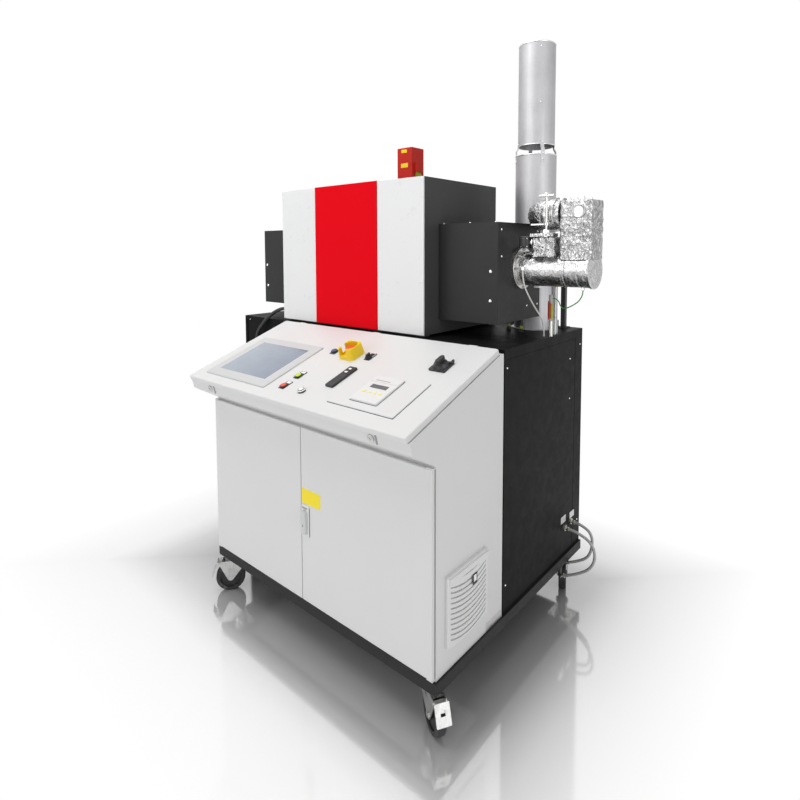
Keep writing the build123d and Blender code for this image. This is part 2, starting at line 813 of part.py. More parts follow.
with BuildPart() as estop_shroud:
    with BuildSketch(lid_plane) as guard_base:
        with Locations(estop_at):
            RectangleRounded(guard_side, guard_side, 16)
    with BuildSketch(lid_plane.offset(guard_high)) as guard_rim:
        with Locations(estop_at):
            RectangleRounded(guard_side - 8, guard_side - 8, 12)
    loft()
    with BuildSketch(lid_plane.offset(8)):
        with Locations(estop_at):
            Circle(guard_bore_r)
    extrude(amount=guard_high, mode=Mode.SUBTRACT)
    with BuildSketch(lid_plane.offset(14)):
        with Locations((estop_at[0] - 6, estop_at[1] - guard_side / 2)):
            Rectangle(34, guard_side)
        with Locations((estop_at[0] - guard_side / 2, estop_at[1] - 6)):
            Rectangle(guard_side, 26)
    extrude(amount=guard_high, mode=Mode.SUBTRACT)
    with BuildSketch(lid_plane):
        with Locations(estop_at):
            Circle(barrel_r)
    extrude(amount=-14)
    with BuildSketch(lid_plane.offset(-sheet - seat)):
        with Locations(estop_at):
            RectangleRounded(30, 40, 2)
    extrude(amount=-46)
    with BuildSketch(lid_plane.offset(8)):
        with Locations(estop_at):
            Circle(estop_stem_r + run_fit)
    extrude(amount=-28, mode=Mode.SUBTRACT)
estop_shroud.part.label = "estop_shroud"
export_step(estop_shroud.part, "parts/estop_shroud.step")

with BuildPart() as estop_button:
    with BuildSketch(lid_plane.offset(22)):
        with Locations(estop_at):
            Circle(mushroom_r)
    extrude(amount=14)
    cap_top = estop_button.faces().sort_by(lid_up)[-1]
    fillet(cap_top.edges(), 6)
    with BuildSketch(lid_plane.offset(8 + mushroom_travel + seat)):
        with Locations(estop_at):
            Circle(12)
    extrude(amount=10)
    with BuildSketch(lid_plane.offset(14)):
        with Locations(estop_at):
            Circle(estop_stem_r)
    extrude(amount=-24)
estop_button.part.label = "estop_button"
export_step(estop_button.part, "parts/estop_button.step")

with BuildPart() as main_switch_knob:
    with BuildSketch(lid_plane.offset(main_plate_thick + seat)) as knob_base:
        with Locations(main_at):
            Circle(29)
    with BuildSketch(lid_plane.offset(main_plate_thick + seat + 12)) as knob_shoulder:
        with Locations(main_at):
            Circle(24)
    loft()
    with BuildSketch(lid_plane.offset(main_plate_thick + seat + 12)):
        with Locations(main_at):
            SlotOverall(45, 18, rotation=90)
    extrude(amount=16)
    with BuildSketch(lid_plane.offset(main_plate_thick + seat)):
        with Locations(main_at):
            Circle(main_shaft_r)
    extrude(amount=-16)
main_switch_knob.part.label = "main_switch_knob"
export_step(main_switch_knob.part, "parts/main_switch_knob.step")

# Lid locks: quarter-turn barrels in the apron with a cam behind it
def make_lock(x):
    """Quarter-turn lock: a slotted head in front, a barrel through the sheet, a cam behind."""
    with BuildPart() as lock:
        with BuildSketch(apron_plane.offset(seat)):
            with Locations((x, 0)):
                Circle(lock_r + 4)
        extrude(amount=4)
        chamfer(lock.faces().sort_by(Axis.Y)[0].edges(), 1)
        with BuildSketch(apron_plane.offset(seat + 4)):
            with Locations((x, 0)):
                SlotOverall(12, 4, rotation=-35)
        extrude(amount=-3, mode=Mode.SUBTRACT)
        with BuildSketch(apron_plane.offset(seat)):
            with Locations((x, 0)):
                Circle(lock_r)
        extrude(amount=-(seat + sheet + 10))
        with BuildSketch(apron_plane.offset(-sheet - seat)):
            with Locations((x - 4.5, 0)):
                SlotOverall(23, 14)
        extrude(amount=-3)
    return lock


finish(make_lock(lock_x[0]), "lid_lock_left")
finish(make_lock(lock_x[1]), "lid_lock_right")

# Filter fan in the right side wall
grille_wide = 236.0
grille_high = 230.0
grille_sag = 22.0
grille_thick = 13.0
grille_rim = 16.0
louvre_count = 11
louvre_pitch = 17.0
louvre_gap = 6.0
hood_high = 30.0
grille_top = fan_z + grille_high / 2
fan_box = 218.0
fan_deep = 62.0
rotor_r = 84.0
rotor_hub_r = 30.0
blade_count = 7


def sagging_outline(level, length, depth, height):
    """Closed outline between two arcs that sag in the middle, for use in a line builder."""
    left = fan_y - length / 2
    right = fan_y + length / 2
    top = level + height
    ThreePointArc((left, level), (fan_y, level - depth), (right, level))
    Line((right, level), (right, top))
    ThreePointArc((right, top), (fan_y, top - depth), (left, top))
    Line((left, top), (left, level))


with BuildPart() as filter_grille:
    with BuildSketch(side_plane(half)):
        with BuildLine():
            ThreePointArc(
                (fan_y - grille_wide / 2, grille_top - grille_high),
                (fan_y, grille_top - grille_high - grille_sag / 2),
                (fan_y + grille_wide / 2, grille_top - grille_high),
            )
            Polyline(
                (fan_y + grille_wide / 2, grille_top - grille_high),
                (fan_y + grille_wide / 2, grille_top),
                (fan_y - grille_wide / 2, grille_top),
                (fan_y - grille_wide / 2, grille_top - grille_high),
            )
        make_face()
    extrude(amount=grille_thick)
    fillet(filter_grille.faces().sort_by(Axis.X)[-1].edges(), 5)
    with BuildSketch(side_plane(half)):
        with Locations((fan_y, grille_top - grille_high / 2)):
            Rectangle(grille_wide - 2 * grille_rim, grille_high - 2 * grille_rim)
    extrude(amount=grille_thick - 6, mode=Mode.SUBTRACT)
    with BuildSketch(side_plane(half + grille_thick - 6)):
        for index in range(louvre_count):
            level = grille_top - hood_high - grille_rim / 2 - louvre_pitch * index
            with BuildLine():
                sagging_outline(level, grille_wide - 2 * grille_rim, grille_sag, louvre_gap)
            make_face()
    extrude(amount=6, mode=Mode.SUBTRACT)
    with BuildSketch(side_plane(half + grille_thick)):
        with BuildLine():
            sagging_outline(grille_top - hood_high + 8, grille_wide - 12, grille_sag, hood_high - 12)
        make_face()
        with Locations((fan_y, grille_top - 14)):
            Rectangle(grille_wide - 12, 20)
    extrude(amount=6, taper=12)
filter_grille.part.label = "filter_grille"
export_step(filter_grille.part, "parts/filter_grille.step")

with BuildPart() as fan_housing:
    with BuildSketch(side_plane(half)):
        with Locations((fan_y, fan_z)):
            Rectangle(fan_box, fan_box)
            Circle(rotor_r + 5, mode=Mode.SUBTRACT)
    extrude(amount=-fan_deep)
    with BuildSketch(side_plane(half - fan_deep)):
        with Locations((fan_y, fan_z)):
            Circle(22)
            Rectangle(2 * rotor_r + 20, 8)
            Rectangle(8, 2 * rotor_r + 20)
    extrude(amount=4)
    with BuildSketch(side_plane(half - fan_deep + 4)):
        with Locations((fan_y, fan_z)):
            Circle(5)
    extrude(amount=36)
fan_housing.part.label = "fan_housing"
export_step(fan_housing.part, "parts/fan_housing.step")

with BuildPart() as fan_rotor:
    with BuildSketch(side_plane(half - fan_deep + 4 + seat)):
        with Locations((fan_y, fan_z)):
            Circle(rotor_hub_r)
    extrude(amount=36)
    with Locations(side_plane(half - fan_deep + 22)):
        with Locations((fan_y, fan_z)):
            with PolarLocations(rotor_r - 28, blade_count):
                Box(54, 34, 3, rotation=(32, 0, 0))
    with BuildSketch(side_plane(half - fan_deep + 4)):
        with Locations((fan_y, fan_z)):
            Circle(5 + run_fit)
    extrude(amount=37, mode=Mode.SUBTRACT)
fan_rotor.part.label = "fan_rotor"
export_step(fan_rotor.part, "parts/fan_rotor.step")

# Switchgear on a plate inside the desk
gear_y = 328.0
gear_plate = (1040.0, 600.0, 3.0)
gear_z = 550.0
stud_r = 5.0
device_rows = [
    (720.0, [(-420 + 70 * index, 54, 90, 70) for index in range(7)] + [(240, 150, 130, 90)]),
    (540.0, [(-430 + 46 * index, 36, 80, 60) for index in range(10)] + [(230, 160, 110, 80)]),
    (360.0, [(-440 + 22 * index, 8, 50, 42) for index in range(20)] + [(200, 180, 90, 60)]),
]

with BuildPart() as control_gear:
    box_between(
        (-gear_plate[0] / 2, gear_y, gear_z - gear_plate[1] / 2),
        (gear_plate[0] / 2, gear_y + gear_plate[2], gear_z + gear_plate[1] / 2),
    )
    with BuildSketch(front_plane(gear_y + gear_plate[2])):
        with Locations((0, gear_z)):
            with GridLocations(gear_plate[0] - 60, gear_plate[1] - 60, 2, 2):
                Circle(stud_r)
    extrude(amount=-(desk_deep - sheet - gear_y - gear_plate[2]))
    for row_z, devices in device_rows:
        box_between((-480, gear_y - 8, row_z - 18), (400, gear_y, row_z + 18))
        for x, wide, high, deep in devices:
            box_between(
                (x - wide / 2, gear_y - 8 - deep, row_z - high / 2),
                (x + wide / 2, gear_y - 8, row_z + high / 2),
            )
control_gear.part.label = "control_gear"
export_step(control_gear.part, "parts/control_gear.step")

# Rear cabinet: a sheet box, open below, that carries the furnace
cabinet_sheet_top = 3.0
panel_frame = 20.0
panel_depth = 3.0
upstand_high = 28.0
upstand_y = 1080.0
upstand_x = (-960.0, 490.0)
groove_z = 1131.0
fold_y = 1011.0
groove = 3.0
groove_deep = 1.0
gland_x = -852.0
gland_y = 381.0
gland_z = 1000.0
conduit_r = 9.0

with BuildPart() as rear_cabinet:
    box_between((cabinet_left, cabinet_front, base_top), (cabinet_right, cabinet_back, cabinet_top))
    fillet(rear_cabinet.edges().filter_by(Axis.Z), 4)
    box_between(
        (cabinet_left + sheet, cabinet_front + sheet + panel_depth, base_top),
        (cabinet_right - sheet, cabinet_back - sheet, cabinet_top - cabinet_sheet_top),
        Mode.SUBTRACT,
    )
    box_between(
        (cabinet_left + panel_frame, cabinet_front, base_top + panel_frame),
        (-half - panel_frame, cabinet_front + panel_depth, cabinet_top - panel_frame),
        Mode.SUBTRACT,
    )
    box_between(
        (cabinet_right - groove_deep, cabinet_front + 10, groove_z - groove / 2),
        (cabinet_right, fold_y, groove_z + groove / 2),
        Mode.SUBTRACT,
    )
    box_between(
        (cabinet_right - groove_deep, fold_y - groove / 2, base_top + 10),
        (cabinet_right, fold_y + groove / 2, groove_z + groove / 2),
        Mode.SUBTRACT,
    )
    box_between(
        (upstand_x[0], upstand_y, cabinet_top),
        (upstand_x[1], upstand_y + sheet, cabinet_top + upstand_high),
    )
    box_between(
        (gland_x - 20, gland_y - 16, gland_z - 30),
        (gland_x + 20, cabinet_front + panel_depth, gland_z + 16),
    )
    with BuildSketch(floor_plane(gland_z + 16)):
        with Locations((gland_x, gland_y)):
            RegularPolygon(14, 6)
    extrude(amount=14)
rear_cabinet.part.label = "rear_cabinet"
export_step(rear_cabinet.part, "parts/rear_cabinet.step")

# Furnace body
casing_sheet = 2.0
side_hole_r = tube_r + 2.0
entry_y = 432.0
entry_z = 1222.0

with BuildPart() as furnace_casing:
    box_between(
        (furnace_left, furnace_front, furnace_base), (furnace_right, furnace_back, furnace_top)
    )
    box_between(
        (furnace_left + casing_sheet, furnace_front + casing_sheet, furnace_base + casing_sheet),
        (furnace_right - casing_sheet, furnace_back - casing_sheet, furnace_top - casing_sheet),
        Mode.SUBTRACT,
    )
    with BuildSketch(side_plane(furnace_left)):
        with Locations((tube_y, tube_z)):
            Circle(side_hole_r)
    extrude(amount=furnace_right - furnace_left, mode=Mode.SUBTRACT)
    for y in (furnace_front + 20, furnace_back - 60):
        box_between(
            (furnace_left + 20, y, cabinet_top), (furnace_right - 20, y + 40, furnace_base)
        )
    with BuildSketch(side_plane(furnace_left)):
        with Locations((entry_y, entry_z)):
            RegularPolygon(14, 6)
    extrude(amount=-14)
furnace_casing.part.label = "furnace_casing"
export_step(furnace_casing.part, "parts/furnace_casing.step")

with BuildPart() as white_panels:
    for left, right in ((furnace_left, red_left - panel_gap), (red_right + panel_gap, furnace_right)):
        box_between(
            (left, furnace_front - white_thick, furnace_base), (right, furnace_front, furnace_top)
        )
    fillet(white_panels.faces().group_by(Axis.Y)[0].edges(), 1.5)
white_panels.part.label = "white_panels"
export_step(white_panels.part, "parts/white_panels.step")

with BuildPart() as red_panel:
    with BuildSketch(side_plane(red_left)):
        with BuildLine():
            Polyline(
                (furnace_front, furnace_base),
                (furnace_front - red_thick, furnace_base),
                (furnace_front - red_thick, furnace_top + sheet),
                (furnace_front + 90, furnace_top + sheet),
                (furnace_front + 90, furnace_top),
                (furnace_front, furnace_top),
                close=True,
            )
        make_face()
    extrude(amount=red_right - red_left)
    fillet(red_panel.faces().sort_by(Axis.Y)[0].edges(), 3)
red_panel.part.label = "red_panel"
export_step(red_panel.part, "parts/red_panel.step")

block_x = (-630.0, 200.0)
block_y = (453.0, 913.0)
block_low = furnace_base + casing_sheet
block_high = 1710.0
chamber_r = 100.0
collar_long = 50.0
element_circle_r = 88.0
element_r = 5.0
element_count = 8

with BuildPart() as insulation:
    for low, high in ((block_low, tube_z), (tube_z + seat, block_high)):
        box_between((block_x[0], block_y[0], low), (block_x[1], block_y[1], high))
    with BuildSketch(side_plane(block_x[0] + collar_long)):
        with Locations((tube_y, tube_z)):
            Circle(chamber_r)
    extrude(amount=block_x[1] - block_x[0] - 2 * collar_long, mode=Mode.SUBTRACT)
    with BuildSketch(side_plane(block_x[0] + collar_long / 2)):
        with Locations((tube_y, tube_z)):
            with PolarLocations(element_circle_r, element_count, 180 / element_count):
                Circle(element_r + seat)
    extrude(amount=block_x[1] - block_x[0] - collar_long, mode=Mode.SUBTRACT)
    with BuildSketch(side_plane(block_x[0])):
        with Locations((tube_y, tube_z)):
            Circle(tube_r + seat)
    extrude(amount=block_x[1] - block_x[0], mode=Mode.SUBTRACT)
insulation.part.label = "insulation"
export_step(insulation.part, "parts/insulation.step")

with BuildPart() as heating_elements:
    with BuildSketch(side_plane(block_x[0] + collar_long / 2 + seat)):
        with Locations((tube_y, tube_z)):
            with PolarLocations(element_circle_r, element_count, 180 / element_count):
                Circle(element_r)
    extrude(amount=block_x[1] - block_x[0] - collar_long - 2 * seat)
heating_elements.part.label = "heating_elements"
export_step(heating_elements.part, "parts/heating_elements.step")

tube_right = end_box_right + seat + 8.0
with BuildPart() as work_tube:
    with BuildSketch(side_plane(tube_left)):
        with Locations((tube_y, tube_z)):
            Circle(tube_r)
            Circle(tube_r - tube_wall, mode=Mode.SUBTRACT)
    extrude(amount=tube_right - tube_left)
work_tube.part.label = "work_tube"
export_step(work_tube.part, "parts/work_tube.step")

with BuildPart() as end_boxes:
    for left, right in ((end_box_left, furnace_left), (furnace_right, end_box_right)):
        box_between((left, end_box_y[0], end_box_z[0]), (right, end_box_y[1], end_box_z[1]))
    fillet(end_boxes.edges().filter_by(Axis.Z), 3)
    for left, right in (
        (end_box_left + sheet, furnace_left),
        (furnace_right, end_box_right - sheet),
    ):
        box_between(
            (left, end_box_y[0] + sheet, end_box_z[0] + sheet),
            (right, end_box_y[1] - sheet, end_box_z[1] - sheet),
            Mode.SUBTRACT,
        )
    with BuildSketch(side_plane(furnace_right)):
        with Locations((tube_y, tube_z)):
            Circle(side_hole_r)
    extrude(amount=end_box_right - furnace_right, mode=Mode.SUBTRACT)
end_boxes.part.label = "end_boxes"
export_step(end_boxes.part, "parts/end_boxes.step")

# Flange on the tube's right end, studs through the exhaust's flange, and a blind left end
flange_bolt_r = 3.0
flange_bolt_circle = 75.0
flange_bolts = 8
flange_thick = 8.0
exhaust_flange_x = tube_right + seat
inlet_r = 8.0

with BuildPart() as tube_flanges:
    with BuildSketch(side_plane(tube_right - flange_thick)):
        with Locations((tube_y, tube_z)):
            Circle(flange_r)
            Circle(tube_r + run_fit, mode=Mode.SUBTRACT)
    extrude(amount=flange_thick)
    with BuildSketch(side_plane(tube_right)):
        with Locations((tube_y, tube_z)):
            with PolarLocations(flange_bolt_circle, flange_bolts):
                Circle(flange_bolt_r)
    extrude(amount=flange_thick + 9)
    with BuildSketch(side_plane(exhaust_flange_x + flange_thick + seat)):
        with Locations((tube_y, tube_z)):
            with PolarLocations(flange_bolt_circle, flange_bolts):
                RegularPolygon(6, 6)
    extrude(amount=5)
    with BuildSketch(side_plane(tube_left)):
        with Locations((tube_y, tube_z)):
            Circle(flange_r)
    extrude(amount=-2 * flange_thick)
    with BuildSketch(side_plane(tube_left)):
        with Locations((tube_y, tube_z)):
            Circle(flange_r)
            Circle(tube_r + run_fit, mode=Mode.SUBTRACT)
    extrude(amount=20)
    with BuildSketch(side_plane(tube_left - 2 * flange_thick)):
        with Locations((tube_y, tube_z)):
            Circle(inlet_r)
    extrude(amount=-50)
tube_flanges.part.label = "tube_flanges"
export_step(tube_flanges.part, "parts/tube_flanges.step")

# Exhaust pipe wrapped in foil, closed at its right end
saddle_r = spool_r + seat
port_r = 34.0
cap_long = 13.0
box_mid_x = (valve_x[0] + valve_x[1]) / 2
sensor_x, sensor_y, sensor_z = 556.0, 609.5, 1440.0
earth_x, earth_y, earth_z = 760.0, 690.0, 1368.0

with BuildPart() as exhaust_spool:
    with BuildSketch(side_plane(exhaust_flange_x)):
        with Locations((tube_y, tube_z)):
            Circle(flange_r)
            with PolarLocations(flange_bolt_circle, flange_bolts):
                Circle(flange_bolt_r + seat, mode=Mode.SUBTRACT)
    extrude(amount=flange_thick)
    with BuildSketch(side_plane(exhaust_flange_x + flange_thick)):
        with Locations((tube_y, tube_z)):
            Circle(spool_r - 3)
    extrude(amount=flange_thick)
    with BuildSketch(side_plane(exhaust_flange_x + 2 * flange_thick)):
        with Locations((tube_y, tube_z)):
            Circle(spool_r)
    extrude(amount=spool_end - cap_long - exhaust_flange_x - 2 * flange_thick)
    with BuildSketch(side_plane(spool_end - cap_long)):
        with Locations((tube_y, tube_z)):
            Circle(spool_r + 4)
    extrude(amount=cap_long)
    fillet(exhaust_spool.faces().sort_by(Axis.X)[-1].edges(), 5)
    with BuildSketch(side_plane(exhaust_flange_x)):
        with Locations((tube_y, tube_z)):
            Circle(spool_bore_r)
    extrude(amount=spool_end - 2 * cap_long - exhaust_flange_x, mode=Mode.SUBTRACT)
    with BuildSketch(floor_plane(tube_z)):
        with Locations((box_mid_x, tube_y)):
            Circle(port_r)
    extrude(amount=spool_r + 5, mode=Mode.SUBTRACT)
    box_between((sensor_x - 6, sensor_y - 6, sensor_z), (sensor_x + 6, tube_y - 60, sensor_z + 14))
    box_between((earth_x - 6, earth_y - 6, earth_z), (earth_x + 6, earth_y + 6, tube_z - spool_r + 6))
exhaust_spool.part.label = "exhaust_spool"
export_step(exhaust_spool.part, "parts/exhaust_spool.step")

# Foil-wrapped valve box that stands on the pipe
box_wall = 12.0
cover_bolt_r = 6.5

with BuildPart() as valve_box:
    box_between((valve_x[0], valve_y[0], tube_z), (valve_x[1], valve_y[1], valve_top))
    fillet(valve_box.edges().filter_by(Axis.Z), 14)
    fillet(valve_box.faces().sort_by(Axis.Z)[-1].edges(), 8)
    box_between(
        (valve_x[0] + box_wall, valve_y[0] + box_wall, tube_z),
        (valve_x[1] - box_wall, valve_y[1] - box_wall, valve_top - box_wall),
        Mode.SUBTRACT,
    )
    with BuildSketch(side_plane(valve_x[0])):
        with Locations((tube_y, tube_z)):
            Circle(saddle_r)
    extrude(amount=valve_x[1] - valve_x[0], mode=Mode.SUBTRACT)
    with BuildSketch(side_plane(spool_end - cap_long - seat)):
        with Locations((tube_y, tube_z)):
            Circle(spool_r + 4 + seat)
    extrude(amount=valve_x[1] - spool_end + cap_long + seat, mode=Mode.SUBTRACT)
    box_between(
        (valve_x[0], valve_y[0], tube_z),
        (valve_x[1], valve_y[1], tube_z + spool_r / 2),
        Mode.SUBTRACT,
    )
    with BuildSketch(floor_plane(valve_top)):
        with Locations((box_mid_x - 10, (valve_y[0] + valve_y[1]) / 2)):
            with GridLocations(27, 76, 4, 2):
                RegularPolygon(cover_bolt_r, 6)
    extrude(amount=11)
    with BuildSketch(front_plane(valve_y[0])):
        with Locations((768, 1657)):
            Circle(25)
    extrude(amount=6)
    with BuildSketch(side_plane(valve_x[0])):
        with Locations((tube_y, duct_z)):
            Circle(duct_r - 14)
    extrude(amount=box_wall, mode=Mode.SUBTRACT)
valve_box.part.label = "valve_box"
export_step(valve_box.part, "parts/valve_box.step")

# Exhaust duct from the valve box back to the chimney
duct_corner_x = 572.0
duct_bends = (75.0, 90.0)
duct_bore_r = duct_r - 14.0
duct_run = [
    at(valve_x[0] - seat, tube_y, duct_z),
    at(duct_corner_x, tube_y, duct_z),
    at(duct_corner_x, chimney_y - 40, duct_z),
    at(chimney_x, chimney_y, duct_z),
]

with BuildPart() as exhaust_duct:
    with BuildLine():
        FilletPolyline(*duct_run, radius=duct_bends)
    with BuildSketch(Plane(origin=duct_run[0], z_dir=(-1, 0, 0))):
        Circle(duct_r)
        Circle(duct_bore_r, mode=Mode.SUBTRACT)
    sweep()
    with BuildSketch(side_plane(valve_x[0] - seat - 22)):
        with Locations((tube_y, duct_z)):
            Circle(duct_r + 4)
            Circle(duct_bore_r, mode=Mode.SUBTRACT)
    extrude(amount=-40)
    with BuildSketch(floor_plane(duct_z)):
        with Locations((chimney_x, chimney_y)):
            Circle(chimney_low_r + seat)
    extrude(amount=2 * duct_r, both=True, mode=Mode.SUBTRACT)
exhaust_duct.part.label = "exhaust_duct"
export_step(exhaust_duct.part, "parts/exhaust_duct.step")

# Purge valve in front of the duct, with its drive at the left
drive_y = 626.0
purge_top = 1580.0
purge_x = (592.0, 685.0)
purge_y = (600.0, 690.0)
spindle_x = 648.0
spindle_y = 613.0
spindle_r = 4.5
spindle_top = 1722.0
tee_long = 56.0

with BuildPart() as purge_valve:
    box_between((purge_x[0], purge_y[0], tube_z + 20), (purge_x[1], purge_y[1], purge_top - 12))
    fillet(purge_valve.edges().filter_by(Axis.Z), 12)
    fillet(purge_valve.faces().sort_by(Axis.Z)[-1].edges(), 6)
    with BuildSketch(side_plane(purge_x[0])):
        with Locations((tube_y, tube_z)):
            Circle(saddle_r)
    extrude(amount=purge_x[1] - purge_x[0], mode=Mode.SUBTRACT)
    box_between(
        (purge_x[0] - 8, purge_y[0] - 4, purge_top - 12), (purge_x[1] - 4, purge_y[1] - 40, purge_top)
    )
    with BuildSketch(side_plane(purge_x[0])):
        with Locations((drive_y, 1546)):
            Circle(16)
    extrude(amount=-10)
    box_between((purge_x[0] - 50, drive_y - 22, 1524), (purge_x[0] - 10, drive_y + 22, 1569))
    with BuildSketch(floor_plane(purge_top)):
        with Locations((spindle_x, spindle_y)):
            RegularPolygon(12, 6)
    extrude(amount=12)
    with BuildSketch(floor_plane(purge_top + 12)):
        with Locations((spindle_x, spindle_y)):
            Circle(spindle_r + run_fit)
    extrude(amount=-60, mode=Mode.SUBTRACT)
purge_valve.part.label = "purge_valve"
export_step(purge_valve.part, "parts/purge_valve.step")

with BuildPart() as valve_spindle:
    with BuildSketch(floor_plane(purge_top - 45)):
        with Locations((spindle_x, spindle_y)):
            Circle(spindle_r)
    extrude(amount=spindle_top - purge_top + 45)
    with BuildSketch(side_plane(spindle_x - tee_long / 2)):
        with Locations((spindle_y, spindle_top - 5)):
            Circle(5)
    extrude(amount=tee_long)
    with BuildSketch(floor_plane(purge_top + 28)):
        with Locations((spindle_x, spindle_y)):
            Circle(10)
    extrude(amount=9)
    with BuildSketch(floor_plane(spindle_top)):
        with Locations((spindle_x, spindle_y)):
            RegularPolygon(8, 6)
    extrude(amount=6)
    with BuildSketch(floor_plane(purge_top + 30)):
        with Locations((spindle_x - 30, spindle_y)):
            Rectangle(60, 8)
    extrude(amount=5)
valve_spindle.part.label = "valve_spindle"
export_step(valve_spindle.part, "parts/valve_spindle.step")

# Chimney: two pipes with an open gap, joined by four cranked straps
strap_wide = 16.0
strap_thick = 2.0

with BuildPart() as chimney:
    with BuildSketch(floor_plane(cabinet_top)):
        with Locations((chimney_x, chimney_y)):
            Circle(chimney_low_r + 12)
    extrude(amount=3)
    with BuildSketch(floor_plane(cabinet_top)):
        with Locations((chimney_x, chimney_y)):
            Circle(chimney_low_r)
    extrude(amount=chimney_low_top - cabinet_top)
    with BuildSketch(floor_plane(cabinet_top)):
        with Locations((chimney_x, chimney_y)):
            Circle(chimney_low_r - chimney_sheet)
    extrude(amount=chimney_low_top - cabinet_top, mode=Mode.SUBTRACT)
    with BuildSketch(floor_plane(chimney_high_base)):
        with Locations((chimney_x, chimney_y)):
            Circle(chimney_high_r)
            Circle(chimney_high_r - chimney_sheet, mode=Mode.SUBTRACT)
    extrude(amount=chimney_top - chimney_high_base)
    for turn in (45, 135, 225, 315):
        outward = Vector(cos(radians(turn)), sin(radians(turn)), 0)
        strap_plane = Plane(
            origin=at(chimney_x, chimney_y, 0), x_dir=outward, z_dir=outward.cross(Vector(0, 0, 1))
        )
        with BuildSketch(strap_plane):
            with BuildLine():
                Polyline(
                    (chimney_low_r - 0.8, 1895),
                    (chimney_low_r + strap_thick, 1895),
                    (chimney_low_r + strap_thick, 1948),
                    (chimney_high_r + strap_thick, 1964),
                    (chimney_high_r + strap_thick, 1990),
                    (chimney_high_r - 0.8, 1990),
                    (chimney_high_r - 0.8, 1962),
                    (chimney_low_r - 0.8, 1946),
                    close=True,
                )
            make_face()
        extrude(amount=strap_wide / 2, both=True)
chimney.part.label = "chimney"
export_step(chimney.part, "parts/chimney.step")

# Posts behind the exhaust line
profile = 20.0
alu_x = 579.0
alu_y = 843.0
post_x = 532.0
post_y = 1040.0
post_top = 1580.0
clamp_wide = 24.0

with BuildPart() as support_stand:
    with BuildSketch(floor_plane(cabinet_top)):
        with Locations((alu_x, alu_y)):
            RectangleRounded(profile, profile, 1.5)
            for turn in (0, 90, 180, 270):
                with Locations(Location((0, 0), turn)):
                    with Locations((profile / 2 - 3, 0)):
                        Rectangle(6.5, 5.2, mode=Mode.SUBTRACT)
    extrude(amount=tube_z + 30 - cabinet_top)
    box_between(
        (alu_x - clamp_wide / 2, tube_y + 40, tube_z - 12),
        (alu_x + clamp_wide / 2, alu_y - profile / 2, tube_z + 12),
    )
    with BuildSketch(side_plane(alu_x - clamp_wide / 2)):
        with Locations((tube_y, tube_z)):
            Circle(saddle_r + 6)
        with Locations((tube_y - spool_r, tube_z)):
            Rectangle(2 * spool_r, 3 * spool_r, mode=Mode.SUBTRACT)
    extrude(amount=clamp_wide)
    with BuildSketch(side_plane(alu_x - clamp_wide / 2)):
        with Locations((tube_y, tube_z)):
            Circle(saddle_r)
    extrude(amount=clamp_wide, mode=Mode.SUBTRACT)
    box_between((post_x - 16, post_y - 23, cabinet_top), (post_x + 16, post_y + 33, cabinet_top + 5))
    box_between(
        (post_x - profile / 2, post_y - profile / 2, cabinet_top),
        (post_x + profile / 2, post_y + profile / 2, post_top),
    )
    box_between(
        (chimney_x + 60, post_y - 6, post_top - 40), (post_x, post_y + 6, post_top - 20)
    )
    with BuildSketch(floor_plane(post_top - 60)):
        with Locations((chimney_x, chimney_y)):
            Circle(chimney_low_r + seat)
    extrude(amount=60, mode=Mode.SUBTRACT)
support_stand.part.label = "support_stand"
export_step(support_stand.part, "parts/support_stand.step")

# Ignition box on the furnace's roof
ignition_x = (-155.0, -65.0)
ignition_y = (700.0, 790.0)
ignition_top = 1995.0

with BuildPart() as ignition_box:
    box_between(
        (ignition_x[0], ignition_y[0], furnace_top), (ignition_x[1], ignition_y[1], ignition_top)
    )
    fillet(ignition_box.edges().filter_by(Axis.Z), 4)
    fillet(ignition_box.faces().sort_by(Axis.Z)[-1].edges(), 3)
    box_between(
        (ignition_x[1], ignition_y[0] + 20, 1880), (ignition_x[1] + 16, ignition_y[1] - 26, 1925)
    )
    box_between(
        (ignition_x[0] - 8, ignition_y[0] - 8, furnace_top),
        (ignition_x[1] + 8, ignition_y[1] + 8, furnace_top + 4),
    )
ignition_box.part.label = "ignition_box"
export_step(ignition_box.part, "parts/ignition_box.step")

# Pipe fittings: hose nipples on the right side and on a plate below, gas lines and cable riser
hose_r = 6.0
nipple_r = 8.0
nipple_long = 22.0
supply_route = [
    (cabinet_right + nipple_long, 923, 316),
    (652, 923, 316),
    (728, 923, 290),
    (742, 923, 212),
    (690, 923, 142),
    (606, 923, 101),
]
return_route = [
    (cabinet_right + nipple_long, 984, 322),
    (652, 984, 322),
    (704, 984, 294),
    (700, 982, 210),
    (664, 978, 165),
    (606, 975, 138),
]
hanger_x = 587.0
hanger_thick = 3.0
gas_lines = ((369.0, 840.0), (447.0, 806.0))
riser_x, riser_y, riser_r, riser_top = 592.0, 782.0, 8.0, 1336.0

